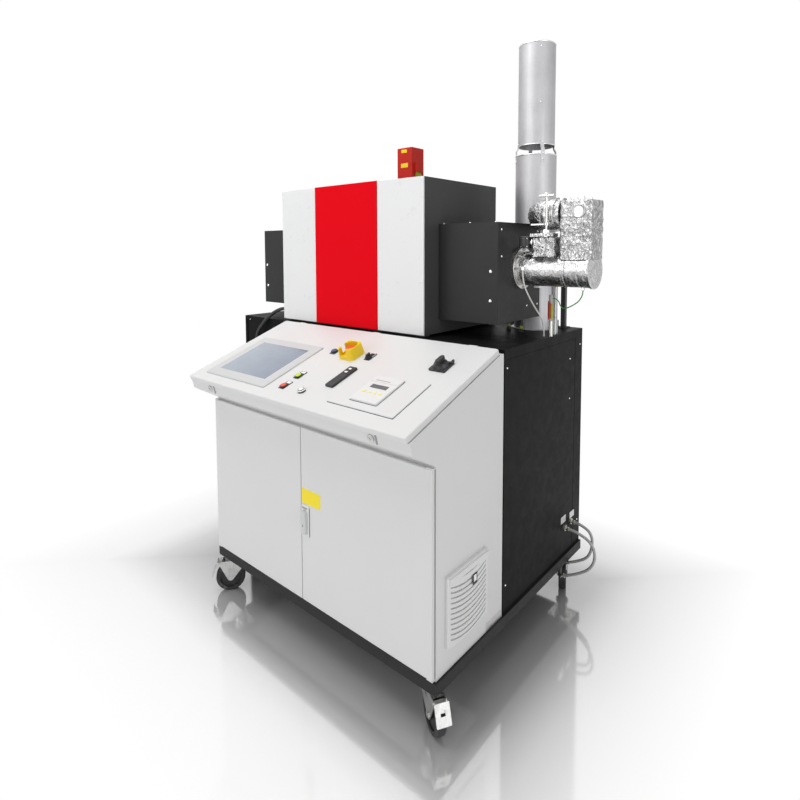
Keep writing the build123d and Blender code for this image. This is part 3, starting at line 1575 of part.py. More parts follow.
with BuildPart() as pipe_fittings:
    for route in (supply_route, return_route):
        with BuildSketch(side_plane(cabinet_right)):
            with Locations(route[0][1:]):
                RegularPolygon(13, 6)
        extrude(amount=9)
        with BuildSketch(side_plane(cabinet_right)):
            with Locations(route[0][1:]):
                Circle(nipple_r)
        extrude(amount=nipple_long)
    box_between((hanger_x, 911, 82), (hanger_x + hanger_thick, 935, base_top - plinth_sheet))
    box_between((hanger_x, 935, 131), (hanger_x + hanger_thick, 984, base_top - plinth_sheet))
    for route in (supply_route, return_route):
        end = Vector(*at(*route[-1]))
        inward = (end - Vector(*at(*route[-2]))).normalized()
        with BuildSketch(Plane(origin=end, z_dir=inward)):
            Circle(nipple_r)
        extrude(amount=18)
    for x, y in gas_lines:
        with BuildSketch(floor_plane(cabinet_top)):
            with Locations((x, y)):
                Circle(6)
        extrude(amount=end_box_z[0] - cabinet_top)
        for z in (cabinet_top, 1196.0, end_box_z[0] - 12):
            with BuildSketch(floor_plane(z)):
                with Locations((x, y)):
                    RegularPolygon(11, 6)
            extrude(amount=12)
    with BuildSketch(floor_plane(cabinet_top)):
        with Locations((riser_x, riser_y)):
            Circle(riser_r)
    extrude(amount=riser_top - cabinet_top)
pipe_fittings.part.label = "pipe_fittings"
export_step(pipe_fittings.part, "parts/pipe_fittings.step")


def bend_radii(points):
    """Bend radius at each inner corner, from the shorter run beside it and half the turn."""
    radii = []
    for before, corner, after in zip(points, points[1:], points[2:]):
        inward = Vector(*corner) - Vector(*before)
        outward = Vector(*after) - Vector(*corner)
        half_turn = radians(inward.get_angle(outward)) / 2
        radii.append(0.45 * min(inward.length, outward.length) / tan(half_turn))
    return radii


def make_cord(places, radius):
    """Round cord or hose along straight runs joined by tangent bends."""
    points = [at(*place) for place in places]
    with BuildPart() as cord:
        with BuildLine():
            FilletPolyline(*points, radius=bend_radii(points))
        with BuildSketch(Plane(origin=points[0], z_dir=Vector(*points[1]) - Vector(*points[0]))):
            Circle(radius)
        sweep()
    return cord


finish(make_cord(supply_route, hose_r), "hose_supply")
finish(make_cord(return_route, hose_r), "hose_return")

conduit_route = [
    (furnace_left - 14, entry_y, entry_z),
    (-715, entry_y, entry_z),
    (-765, 390, 1180),
    (-838, gland_y, 1105),
    (gland_x, gland_y, 1070),
    (gland_x, gland_y, gland_z + 30),
]
finish(make_cord(conduit_route, conduit_r), "conduit")

sensor_route = [
    (sensor_x, sensor_y, sensor_z),
    (sensor_x, sensor_y, 1395),
    (564, 645, 1337),
    (566, 700, 1285),
    (571, 755, 1236),
    (571, 765, 1200),
    (571, 765, cabinet_top),
]
finish(make_cord(sensor_route, 3.0), "sensor_cable")

earth_route = [
    (riser_x + riser_r, riser_y, 1322),
    (622, riser_y, 1322),
    (640, 768, 1288),
    (680, 735, 1290),
    (earth_x, earth_y, 1335),
    (earth_x, earth_y, earth_z),
]
finish(make_cord(earth_route, 2.2), "earth_wire")
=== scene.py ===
import json
import math

import bpy
import numpy as np
from mathutils import Matrix


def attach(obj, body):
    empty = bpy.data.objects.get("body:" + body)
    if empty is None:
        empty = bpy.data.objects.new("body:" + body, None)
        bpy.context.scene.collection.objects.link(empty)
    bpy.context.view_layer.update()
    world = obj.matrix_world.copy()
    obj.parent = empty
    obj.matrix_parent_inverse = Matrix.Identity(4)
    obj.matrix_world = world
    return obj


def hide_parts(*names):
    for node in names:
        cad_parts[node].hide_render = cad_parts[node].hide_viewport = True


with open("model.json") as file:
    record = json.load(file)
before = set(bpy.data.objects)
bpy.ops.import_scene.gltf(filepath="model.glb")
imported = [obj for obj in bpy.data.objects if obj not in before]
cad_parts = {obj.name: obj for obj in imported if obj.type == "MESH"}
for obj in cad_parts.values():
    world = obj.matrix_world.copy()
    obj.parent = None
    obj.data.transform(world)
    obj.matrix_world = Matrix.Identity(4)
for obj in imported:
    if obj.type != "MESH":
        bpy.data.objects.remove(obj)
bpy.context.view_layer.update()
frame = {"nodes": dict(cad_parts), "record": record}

# The tube furnace's visual model. Places are worked out in millimetres from the middle of the
# desk's front edge, as in the part's source, and put into metres by `settled`.
DESK = np.array([86.0, -477.0, 0.0])
MM = 0.001


def settled(points):
    """Desk millimetres to frame metres."""
    return (np.asarray(points, float) + DESK) * MM


# Camera
CAMERA_AT = np.array([1.6417, -1.7543, 1.5245])
CAMERA_YAW, CAMERA_PITCH, CAMERA_ROLL = np.radians([40.80, 3.67, -0.19])


def camera_axes(yaw, pitch, roll):
    """Right, up and look directions: level right and its upright, both turned by the roll."""
    look = np.array([-math.sin(yaw) * math.cos(pitch), math.cos(yaw) * math.cos(pitch),
                     -math.sin(pitch)])
    level = np.array([math.cos(yaw), math.sin(yaw), 0.0])
    upright = np.cross(level, look)
    right = math.cos(roll) * level + math.sin(roll) * upright
    up = math.cos(roll) * upright - math.sin(roll) * level
    return right, up, look


def place_camera():
    """Camera of the photograph: a long-sided 36 mm sensor, with its centre above the middle."""
    right, up, look = camera_axes(CAMERA_YAW, CAMERA_PITCH, CAMERA_ROLL)
    data = bpy.data.cameras.new("camera")
    data.sensor_width = 36.0
    data.lens = 24.525
    data.shift_x = 0.0022
    data.shift_y = -0.1456
    data.clip_start, data.clip_end = 0.05, 60.0
    camera = bpy.data.objects.new("camera", data)
    bpy.context.scene.collection.objects.link(camera)
    turn = np.eye(4)
    turn[:3, 0], turn[:3, 1], turn[:3, 2], turn[:3, 3] = right, up, -look, CAMERA_AT
    camera.matrix_world = Matrix(turn.tolist())
    bpy.context.scene.camera = camera


place_camera()


# Shared shader groups
def group(name, inputs, outputs):
    """Empty shader node group with named sockets; inputs are (name, kind, default)."""
    made = bpy.data.node_groups.new(name, "ShaderNodeTree")
    for label, kind, default in inputs:
        socket = made.interface.new_socket(label, in_out="INPUT", socket_type="NodeSocket" + kind)
        socket.default_value = default
    for label, kind in outputs:
        made.interface.new_socket(label, in_out="OUTPUT", socket_type="NodeSocket" + kind)
    return made, made.nodes.new("NodeGroupInput"), made.nodes.new("NodeGroupOutput")


def feed(tree, node, **values):
    """Set or link a node's inputs by name; underscores stand for spaces."""
    for label, value in values.items():
        socket = node.inputs[label.replace("_", " ")]
        if isinstance(value, bpy.types.NodeSocket):
            tree.links.new(value, socket)
        else:
            socket.default_value = value
    return node


def add(tree, kind, inputs=None, **settings):
    """New node with settings, and inputs given by position or name."""
    node = tree.nodes.new("ShaderNode" + kind)
    for key, value in settings.items():
        setattr(node, key, value)
    for key, value in (inputs or {}).items():
        socket = node.inputs[key]
        if isinstance(value, bpy.types.NodeSocket):
            tree.links.new(value, socket)
        else:
            socket.default_value = value
    return node


def noise(tree, vector, scale, detail=3.0, rough=0.5, twist=0.0):
    """Noise value between 0 and 1."""
    node = add(tree, "TexNoise", {"Vector": vector, "Scale": scale, "Detail": detail,
                                  "Roughness": rough, "Distortion": twist})
    return node.outputs["Fac"]


def ranged(tree, value, low, high, to_low=0.0, to_high=1.0):
    """Value carried from one range to another, held at its ends."""
    node = add(tree, "MapRange", {0: value, 1: low, 2: high, 3: to_low, 4: to_high})
    return node.outputs[0]


def arithmetic(tree, operation, first, second=0.0):
    """Two numbers put together."""
    return add(tree, "Math", {0: first, 1: second}, operation=operation).outputs[0]


def times_plus(tree, first, second, third):
    """First times second, plus third."""
    inputs = {0: first, 1: second, 2: third}
    return add(tree, "Math", inputs, operation="MULTIPLY_ADD").outputs[0]


def blended(tree, mask, first, second):
    """First colour where the mask is 0, second where it is 1."""
    node = add(tree, "Mix", data_type="RGBA")
    for key, value in ((0, mask), (6, first), (7, second)):
        if isinstance(value, bpy.types.NodeSocket):
            tree.links.new(value, node.inputs[key])
        else:
            node.inputs[key].default_value = value
    return node.outputs[2]


def scaled_colour(tree, colour, amount):
    """Colour times a number."""
    node = add(tree, "VectorMath", {0: colour, "Scale": amount}, operation="SCALE")
    return node.outputs[0]


def bumped(tree, height, distance, strength=1.0):
    """Normal of a surface with that height over it."""
    return add(tree, "Bump", {"Height": height, "Distance": distance, "Strength": strength}).outputs[0]


def make_coat_grain():
    """Powder coat: an orange-peel bump, cloudy colour, rubbed and dusty patches."""
    tree, given, out = group(
        "coat_grain",
        [("Vector", "Vector", (0, 0, 0)), ("Colour", "Color", (0.5, 0.5, 0.5, 1)),
         ("Grain", "Float", 700.0), ("Depth", "Float", 0.0001), ("Cloud", "Float", 0.05),
         ("Rough", "Float", 0.4), ("Dust", "Float", 0.05)],
        [("Colour", "Color"), ("Roughness", "Float"), ("Normal", "Vector")],
    )
    place = given.outputs["Vector"]
    broad = noise(tree, place, 2.3, 4.0)
    fine = noise(tree, place, given.outputs["Grain"], 2.0)
    rubbed = noise(tree, place, 21.0, 6.0, 0.65, 0.6)
    spread = ranged(tree, broad, 0.3, 0.7, -1.0, 1.0)
    level = times_plus(tree, spread, given.outputs["Cloud"], 1.0)
    speck = ranged(tree, fine, 0.35, 0.65, 0.985, 1.015)
    level = arithmetic(tree, "MULTIPLY", level, speck)
    tinted = scaled_colour(tree, given.outputs["Colour"], level)
    patch = ranged(tree, rubbed, 0.56, 0.78)
    dusty = arithmetic(tree, "MULTIPLY", patch, given.outputs["Dust"])
    tree.links.new(blended(tree, dusty, tinted, (0.62, 0.60, 0.57, 1)), out.inputs["Colour"])
    smear = ranged(tree, rubbed, 0.3, 0.75, -0.05, 0.11)
    rough = arithmetic(tree, "ADD", given.outputs["Rough"], smear)
    tree.links.new(rough, out.inputs["Roughness"])
    tree.links.new(bumped(tree, fine, given.outputs["Depth"]), out.inputs["Normal"])
    return tree


def make_drawn_metal():
    """Metal with long draw marks: noise stretched along one axis, plus stains."""
    tree, given, out = group(
        "drawn_metal",
        [("Vector", "Vector", (0, 0, 0)), ("Colour", "Color", (0.6, 0.6, 0.6, 1)),
         ("Stretch", "Vector", (900.0, 900.0, 12.0)), ("Rough", "Float", 0.3),
         ("Stain", "Float", 0.15), ("Depth", "Float", 0.00004)],
        [("Colour", "Color"), ("Roughness", "Float"), ("Normal", "Vector")],
    )
    place = given.outputs["Vector"]
    drawn = add(tree, "VectorMath", {0: place, 1: given.outputs["Stretch"]}, operation="MULTIPLY")
    lines = noise(tree, drawn.outputs[0], 1.0, 3.0)
    cloud = noise(tree, place, 34.0, 5.0, 0.6, 0.4)
    shade = ranged(tree, lines, 0.25, 0.75, 0.86, 1.1)
    tinted = scaled_colour(tree, given.outputs["Colour"], shade)
    mask = arithmetic(tree, "MULTIPLY", ranged(tree, cloud, 0.5, 0.75), given.outputs["Stain"])
    tree.links.new(blended(tree, mask, tinted, (0.23, 0.22, 0.2, 1)), out.inputs["Colour"])
    rough = arithmetic(tree, "ADD", given.outputs["Rough"], ranged(tree, cloud, 0.3, 0.7, -0.06, 0.12))
    tree.links.new(rough, out.inputs["Roughness"])
    tree.links.new(bumped(tree, lines, given.outputs["Depth"]), out.inputs["Normal"])
    return tree


def make_crumpled_foil():
    """Aluminium foil pressed by hand: flat facets between sharp creases, some dull, some bright. Each
    facet's grey is a painted reflection, and the creases are darkened as painted shade.
    """
    tree, given, out = group(
        "crumpled_foil",
        [("Vector", "Vector", (0, 0, 0)), ("Facets", "Float", 95.0), ("Depth", "Float", 0.0012),
         ("Dull", "Float", 0.5), ("Darkest", "Float", 0.5), ("Brightest", "Float", 0.8)],
        [("Colour", "Color"), ("Roughness", "Float"), ("Normal", "Vector")],
    )
    warp = add(tree, "TexNoise", {"Vector": given.outputs["Vector"], "Scale": 26.0, "Detail": 2.0})
    pushed = add(tree, "VectorMath", {0: warp.outputs["Color"], "Scale": 0.022}, operation="SCALE")
    place = add(tree, "VectorMath", {0: given.outputs["Vector"], 1: pushed.outputs[0]},
                operation="ADD").outputs[0]
    cells = add(tree, "TexVoronoi", {"Vector": place, "Scale": given.outputs["Facets"]})
    small = add(tree, "TexVoronoi", {"Vector": place, "Scale": arithmetic(
        tree, "MULTIPLY", given.outputs["Facets"], 2.7)})
    edges = add(tree, "TexVoronoi", {"Vector": place, "Scale": given.outputs["Facets"]},
                feature="DISTANCE_TO_EDGE")
    tone = add(tree, "SeparateColor", {0: cells.outputs["Color"]}).outputs[0]
    tone_small = add(tree, "SeparateColor", {0: small.outputs["Color"]}).outputs[1]
    # Painted reflection: each facet gets its own grey between Darkest and Brightest, standing for what
    # it reflects.
    facet = times_plus(tree, tone, 0.62, arithmetic(tree, "MULTIPLY", tone_small, 0.38))
    colour = ranged(tree, facet, 0.2, 0.85, given.outputs["Darkest"],
                    given.outputs["Brightest"])
    # Painted shade: the colour is darkened along the creases.
    crease = ranged(tree, edges.outputs["Distance"], 0.0, 0.08, 0.6, 1.0)
    colour = arithmetic(tree, "MULTIPLY", colour, crease)
    grey = add(tree, "CombineColor", {0: colour, 1: colour, 2: colour}).outputs[0]
    tree.links.new(grey, out.inputs["Colour"])
    rough = arithmetic(tree, "MULTIPLY", ranged(tree, tone_small, 0.0, 1.0, 0.18, 0.5),
                       given.outputs["Dull"])
    tree.links.new(arithmetic(tree, "ADD", rough, 0.12), out.inputs["Roughness"])
    height = arithmetic(tree, "ADD", cells.outputs["Distance"], arithmetic(
        tree, "MULTIPLY", small.outputs["Distance"], 0.4))
    tree.links.new(bumped(tree, height, given.outputs["Depth"]), out.inputs["Normal"])
    return tree


def make_zone():
    """Mask that is 1 inside a box between two corners and 0 outside it."""
    tree, given, out = group(
        "zone",
        [("Vector", "Vector", (0, 0, 0)), ("Low", "Vector", (0, 0, 0)),
         ("High", "Vector", (0, 0, 0))],
        [("Mask", "Float")],
    )
    middle = add(tree, "VectorMath", {0: given.outputs["Low"], 1: given.outputs["High"]},
                 operation="ADD")
    middle = add(tree, "VectorMath", {0: middle.outputs[0], "Scale": 0.5}, operation="SCALE")
    half = add(tree, "VectorMath", {0: given.outputs["High"], 1: middle.outputs[0]},
               operation="SUBTRACT")
    off = add(tree, "VectorMath", {0: given.outputs["Vector"], 1: middle.outputs[0]},
              operation="SUBTRACT")
    off = add(tree, "VectorMath", {0: off.outputs[0]}, operation="ABSOLUTE")
    room = add(tree, "VectorMath", {0: half.outputs[0], 1: off.outputs[0]}, operation="SUBTRACT")
    parts = add(tree, "SeparateXYZ", {0: room.outputs[0]})
    least = arithmetic(tree, "MINIMUM", parts.outputs[0], parts.outputs[1])
    least = arithmetic(tree, "MINIMUM", least, parts.outputs[2])
    tree.links.new(arithmetic(tree, "GREATER_THAN", least, 0.0), out.inputs["Mask"])
    return tree


COAT_GRAIN = make_coat_grain()
DRAWN_METAL = make_drawn_metal()
CRUMPLED_FOIL = make_crumpled_foil()
ZONE = make_zone()


# Finishes
def blank_finish(name, **shader):
    """Material with a Principled shader; its plain values are set on its own sockets."""
    made = bpy.data.materials.new(name)
    made.use_nodes = True
    surface = made.node_tree.nodes["Principled BSDF"]
    feed(made.node_tree, surface, **shader)
    place = made.node_tree.nodes.new("ShaderNodeTexCoord").outputs["Object"]
    return made, made.node_tree, surface, place


def placed_group(tree, which, **values):
    """One of the shared groups inside a material, with its own values."""
    node = tree.nodes.new("ShaderNodeGroup")
    node.node_tree = which
    return feed(tree, node, **values)


def join_outputs(tree, node, surface):
    """Colour, roughness and normal of a group to the shader."""
    tree.links.new(node.outputs["Colour"], surface.inputs["Base Color"])
    tree.links.new(node.outputs["Roughness"], surface.inputs["Roughness"])
    tree.links.new(node.outputs["Normal"], surface.inputs["Normal"])


def coat(name, colour, rough, grain=700.0, depth=0.00008, cloud=0.04, dust=0.04, **shader):
    """Painted or moulded finish."""
    made, tree, surface, place = blank_finish(name, **shader)
    node = placed_group(tree, COAT_GRAIN, Vector=place, Colour=(*colour, 1), Grain=grain,
                        Depth=depth, Cloud=cloud, Rough=rough, Dust=dust)
    join_outputs(tree, node, surface)
    return made


def drawn(name, colour, rough, stretch=(900.0, 900.0, 12.0), stain=0.15, depth=0.00004, **shader):
    """Bare or plated metal with draw marks."""
    made, tree, surface, place = blank_finish(name, Metallic=1.0, **shader)
    node = placed_group(tree, DRAWN_METAL, Vector=place, Colour=(*colour, 1), Stretch=stretch,
                        Rough=rough, Stain=stain, Depth=depth)
    join_outputs(tree, node, surface)
    return made


def foil(name, facets, depth, dull, darkest, brightest):
    """Creased aluminium foil, with facet greys as painted reflections and its creases darkened as
    painted shade.
    """
    made, tree, surface, place = blank_finish(name, Metallic=1.0)
    node = placed_group(tree, CRUMPLED_FOIL, Vector=place, Facets=facets, Depth=depth, Dull=dull,
                        Darkest=darkest, Brightest=brightest)
    join_outputs(tree, node, surface)
    return made


def repaint(made, low, high, colour, rough=None, metallic=None):
    """Another colour, roughness or metal inside a box of desk millimetres."""
    tree = made.node_tree
    surface = tree.nodes["Principled BSDF"]
    place = next(n for n in tree.nodes if n.type == "TEX_COORD").outputs["Object"]
    mask = placed_group(tree, ZONE, Vector=place, Low=tuple(settled(low)),
                        High=tuple(settled(high))).outputs["Mask"]
    base = surface.inputs["Base Color"]
    tree.links.new(blended(tree, mask, base.links[0].from_socket, (*colour, 1)), base)
    for label, value in (("Roughness", rough), ("Metallic", metallic)):
        if value is not None:
            socket = surface.inputs[label]
            before = socket.links[0].from_socket if socket.links else socket.default_value
            mixed = add(tree, "MapRange", {0: mask, 1: 0.0, 2: 1.0, 3: before, 4: value})
            tree.links.new(mixed.outputs[0], socket)
    return made


def turned_steel(name, colour, rough):
    """Steel turned about the work tube's axis: fine rings in its distance from the axis."""
    made, tree, surface, place = blank_finish(name, Metallic=1.0)
    off = add(tree, "VectorMath", {0: place, 1: tuple(settled((0, 683, 1445)))},
              operation="SUBTRACT").outputs[0]
    flat = add(tree, "VectorMath", {0: off, 1: (0.0, 1.0, 1.0)}, operation="MULTIPLY").outputs[0]
    radius = add(tree, "VectorMath", {0: flat}, operation="LENGTH").outputs[1]
    rings = add(tree, "CombineXYZ", {0: arithmetic(tree, "MULTIPLY", radius, 1600.0)}).outputs[0]
    node = placed_group(tree, DRAWN_METAL, Vector=place, Colour=(*colour, 1), Rough=rough,
                        Stretch=(420.0, 6.0, 6.0), Stain=0.1)
    join_outputs(tree, node, surface)
    height = noise(tree, rings, 1.0, 2.0)
    tree.links.new(bumped(tree, height, 0.00006), surface.inputs["Normal"])
    return made


def galvanised_sheet(name):
    """Hot-dip zinc: small spangles of different grey, with faint runs down the pipe."""
    made, tree, surface, place = blank_finish(name, Metallic=1.0)
    cells = add(tree, "TexVoronoi", {"Vector": place, "Scale": 120.0, "Randomness": 1.0})
    tone = add(tree, "SeparateColor", {0: cells.outputs["Color"]}).outputs[0]
    runs = add(tree, "VectorMath", {0: place, 1: (60.0, 60.0, 2.5)}, operation="MULTIPLY")
    streak = noise(tree, runs.outputs[0], 1.0, 4.0, 0.6)
    cloud = noise(tree, place, 9.0, 5.0, 0.6)
    level = arithmetic(tree, "ADD", ranged(tree, tone, 0.0, 1.0, 0.515, 0.545),
                       ranged(tree, streak, 0.3, 0.7, -0.02, 0.02))
    level = arithmetic(tree, "ADD", level, ranged(tree, cloud, 0.3, 0.7, -0.03, 0.03))
    cool = arithmetic(tree, "MULTIPLY", level, 1.03)
    colour = add(tree, "CombineColor", {0: level, 1: level, 2: cool}).outputs[0]
    tree.links.new(colour, surface.inputs["Base Color"])
    rough = arithmetic(tree, "ADD", ranged(tree, tone, 0.0, 1.0, 0.55, 0.59),
                       ranged(tree, streak, 0.3, 0.7, 0.03, -0.03))
    tree.links.new(rough, surface.inputs["Roughness"])
    tree.links.new(bumped(tree, streak, 0.00005), surface.inputs["Normal"])
    return made


def fibre_board(name):
    """Vacuum-formed ceramic fibre: matt, with short fibres standing out of it."""
    made, tree, surface, place = blank_finish(name)
    shreds = noise(tree, place, 480.0, 6.0, 0.7, 1.4)
    cloud = noise(tree, place, 12.0, 3.0)
    level = arithmetic(tree, "ADD", ranged(tree, shreds, 0.3, 0.7, 0.72, 0.86),
                       ranged(tree, cloud, 0.3, 0.7, -0.05, 0.03))
    warm = arithmetic(tree, "MULTIPLY", level, 0.95)
    colour = add(tree, "CombineColor", {0: level, 1: level, 2: warm}).outputs[0]
    tree.links.new(colour, surface.inputs["Base Color"])
    tree.links.new(ranged(tree, shreds, 0.2, 0.8, 0.82, 0.98), surface.inputs["Roughness"])
    tree.links.new(bumped(tree, shreds, 0.0008), surface.inputs["Normal"])
    return made


def screen_film(name):
    """Switched-off display: blue-grey under clear glass, with a faint smear, and lighter towards its
    left end as a painted reflection.
    """
    made, tree, surface, place = blank_finish(name, Specular_IOR_Level=0.6, Coat_Weight=0.6)
    sweep = add(tree, "SeparateXYZ", {0: place})
    fade = ranged(tree, sweep.outputs[0], -0.40, -0.08)
    smear = noise(tree, place, 18.0, 4.0, 0.6, 0.5)
    colour = blended(tree, fade, (0.33, 0.38, 0.44, 1), (0.20, 0.245, 0.32, 1))
    colour = scaled_colour(tree, colour, ranged(tree, smear, 0.3, 0.7, 0.95, 1.05))
    tree.links.new(colour, surface.inputs["Base Color"])
    tree.links.new(ranged(tree, smear, 0.3, 0.7, 0.12, 0.24), surface.inputs["Roughness"])
    return made


def clear_hose(name):
    """Milky grey hose: streaks along it and a soft shine."""
    return coat(name, (0.40, 0.41, 0.40), 0.3, grain=260.0, depth=0.0002, cloud=0.12, dust=0.15,
                Specular_IOR_Level=0.6, Coat_Weight=0.25)


finishes = {
    "black_paint": coat("black_paint", (0.017, 0.017, 0.0175), 0.42, 900.0, 0.0001, 0.1, 0.01,
                        Specular_IOR_Level=0.16),
    "grey_paint": coat("grey_paint", (0.67, 0.675, 0.67), 0.42, 950.0, 0.0001, 0.012, 0.03),
    "white_paint": coat("white_paint", (0.79, 0.795, 0.80), 0.3, 420.0, 0.00005, 0.01, 0.02),
    "red_paint": coat("red_paint", (0.76, 0.003, 0.010), 0.4, 420.0, 0.00003, 0.015, 0.0,
                      Specular_IOR_Level=0.03),
    "zinc_plated": drawn("zinc_plated", (0.62, 0.62, 0.61), 0.3, (220.0, 220.0, 40.0), 0.35),
    "stainless": turned_steel("stainless", (0.66, 0.655, 0.64), 0.24),
    "galvanised": galvanised_sheet("galvanised"),
    "foil": foil("foil", 88.0, 0.0024, 0.6, 0.30, 0.70),
    "aluminium_profile": drawn("aluminium_profile", (0.72, 0.72, 0.73), 0.34),
    "brass_fitting": drawn("brass_fitting", (0.66, 0.64, 0.58), 0.28, (400.0, 400.0, 60.0), 0.3),
    "wheel_rubber": coat("wheel_rubber", (0.018, 0.018, 0.019), 0.55, 500.0, 0.0002, 0.2, 0.22),
    "black_plastic": coat("black_plastic", (0.016, 0.016, 0.018), 0.4, 1100.0, 0.00006, 0.1, 0.05),
    "grey_plastic": coat("grey_plastic", (0.70, 0.705, 0.70), 0.45, 1100.0, 0.00006, 0.02, 0.03),
    "device_plastic": coat("device_plastic", (0.42, 0.43, 0.44), 0.5, 900.0, 0.00008, 0.1, 0.08),
    "module_grey": coat("module_grey", (0.75, 0.755, 0.75), 0.4, 1100.0, 0.00005, 0.02, 0.02),
    "yellow_plastic": coat("yellow_plastic", (0.86, 0.60, 0.008), 0.32, 900.0, 0.00006, 0.05, 0.0),
    "red_plastic": coat("red_plastic", (0.78, 0.085, 0.035), 0.28, 900.0, 0.00005, 0.05, 0.0),
    "green_plastic": coat("green_plastic", (0.55, 0.72, 0.02), 0.28, 900.0, 0.00005, 0.05, 0.0),
    "blue_plastic": coat("blue_plastic", (0.05, 0.085, 0.16), 0.3, 900.0, 0.00005, 0.05, 0.0),
    "screen_glass": screen_film("screen_glass"),
    "ceramic_fibre": fibre_board("ceramic_fibre"),
    "heater_rod": coat("heater_rod", (0.05, 0.05, 0.052), 0.7, 300.0, 0.0003, 0.3, 0.0),
    "ceramic_tube": coat("ceramic_tube", (0.83, 0.80, 0.70), 0.35, 380.0, 0.0001, 0.05, 0.0),
    "hose_grey": clear_hose("hose_grey"),
    "cable_black": coat("cable_black", (0.014, 0.014, 0.015), 0.42, 320.0, 0.0003, 0.1, 0.05),
    "cable_grey": coat("cable_grey", (0.66, 0.66, 0.63), 0.42, 400.0, 0.0001, 0.05, 0.05),
    "cable_green": coat("cable_green", (0.06, 0.36, 0.07), 0.4, 400.0, 0.0001, 0.05, 0.0),
}
extra_finishes = {
    "bezel_silver": coat("bezel_silver", (0.56, 0.57, 0.57), 0.36, 800.0, 0.00005, 0.02, 0.02),
    "fine_foil": foil("fine_foil", 60.0, 0.0007, 0.6, 0.50, 0.72),
    "bright_steel": drawn("bright_steel", (0.82, 0.82, 0.81), 0.2, (300.0, 300.0, 300.0), 0.1),
    "bare_tag": drawn("bare_tag", (0.62, 0.62, 0.61), 0.42, (40.0, 900.0, 900.0), 0.1),
    "white_tag": coat("white_tag", (0.84, 0.84, 0.82), 0.4, 900.0, 0.00004, 0.02, 0.02),
    "yellow_film": coat("yellow_film", (0.90, 0.72, 0.0), 0.36, 600.0, 0.00005, 0.02, 0.0),
    # Dark trim for small parts, and also the dark plates that stand for painted shadow lines by the
    # limiter plate and the handle.
    "dark_trim_and_painted_shade": coat("dark_trim_and_painted_shade", (0.035, 0.035, 0.037), 0.7, 500.0, 0.0001, 0.1, 0.0),
    "rib_grey": coat("rib_grey", (0.30, 0.305, 0.31), 0.5, 700.0, 0.00008, 0.05, 0.05),
    "lcd_grey": coat("lcd_grey", (0.13, 0.14, 0.15), 0.4, 700.0, 0.00003, 0.04, 0.0,
                     Specular_IOR_Level=0.2),
    "lens_clear": coat("lens_clear", (0.80, 0.81, 0.80), 0.16, 700.0, 0.00005, 0.03, 0.0,
                       Coat_Weight=0.7),
    "earth_sleeve": coat("earth_sleeve", (0.42, 0.45, 0.015), 0.45, 500.0, 0.0001, 0.1, 0.0),
    "red_sleeve": coat("red_sleeve", (0.55, 0.03, 0.02), 0.4, 500.0, 0.0001, 0.1, 0.0),
    "pale_key": coat("pale_key", (0.80, 0.79, 0.25), 0.4, 600.0, 0.00004, 0.02, 0.0),
    "filter_mat": coat("filter_mat", (0.86, 0.86, 0.85), 0.9, 260.0, 0.0006, 0.05, 0.08),
    "warm_red": coat("warm_red", (0.56, 0.022, 0.012), 0.4, 420.0, 0.00008, 0.08, 0.0,
                     Specular_IOR_Level=0.2),
    "cabinet_black": coat("cabinet_black", (0.006, 0.006, 0.0063), 0.45, 900.0, 0.0001, 0.1, 0.005,
                          Specular_IOR_Level=0.06),
    "box_black": coat("box_black", (0.03, 0.03, 0.031), 0.42, 900.0, 0.0001, 0.1, 0.01,
                      Specular_IOR_Level=0.18),
    "casing_black": coat("casing_black", (0.06, 0.06, 0.0615), 0.42, 900.0, 0.0001, 0.1, 0.01,
                         Specular_IOR_Level=0.2),
}


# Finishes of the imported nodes
node_finish = {row["node"]: row["material_slot"] for row in frame["record"]["subparts"]}
own_copy = {
    "hmi_bezel": extra_finishes["bezel_silver"],
    "ignition_box": extra_finishes["warm_red"],
    "swing_handle": extra_finishes["bezel_silver"],
    "rear_cabinet": extra_finishes["cabinet_black"],
    "end_boxes": extra_finishes["box_black"],
    "furnace_casing": extra_finishes["casing_black"],
    "limiter_plate": finishes["grey_paint"],
    "limiter_module": finishes["grey_plastic"],
}
for name, node in frame["nodes"].items():
    chosen = own_copy.get(name) or finishes[node_finish[name]]
    for place in range(max(1, len(node.material_slots))):
        if node.material_slots:
            node.material_slots[place].material = chosen
        else:
            node.data.materials.append(chosen)


def own_finish(node, made):
    """A finish for one node alone."""
    for place in frame["nodes"][node].material_slots:
        place.material = made


stand_metal = drawn("stand_metal", (0.72, 0.72, 0.73), 0.34)
repaint(stand_metal, (430, 1000, 1160), (560, 1080, 1600), (0.012, 0.012, 0.013), 0.4, 0.0)
own_finish("support_stand", stand_metal)
fitting_metal = drawn("fitting_metal", (0.66, 0.65, 0.60), 0.28, (400.0, 400.0, 60.0), 0.3)
repaint(fitting_metal, (355, 780, 1160), (470, 860, 1420), (0.02, 0.02, 0.02), 0.4, 0.0)
repaint(fitting_metal, (580, 770, 1230), (604, 796, 1345), (0.42, 0.42, 0.41), 0.5, 0.0)
repaint(fitting_metal, (580, 900, 60), (592, 992, 150), (0.02, 0.02, 0.02), 0.4, 0.0)
own_finish("pipe_fittings", fitting_metal)


# Surfaces
class Face:
    """A flat place on the furnace: an origin and two directions along it; the third is outward."""

    def __init__(self, origin, across, along):
        self.origin = np.asarray(origin, float)
        self.across = np.asarray(across, float)
        self.along = np.asarray(along, float)
        self.out = np.cross(self.across, self.along)

    def place(self, x, y, height):
        """Points at x across, y along and height out of the face."""
        x, y, height = np.broadcast_arrays(x, y, height)
        return (self.origin + x[..., None] * self.across + y[..., None] * self.along
                + height[..., None] * self.out)


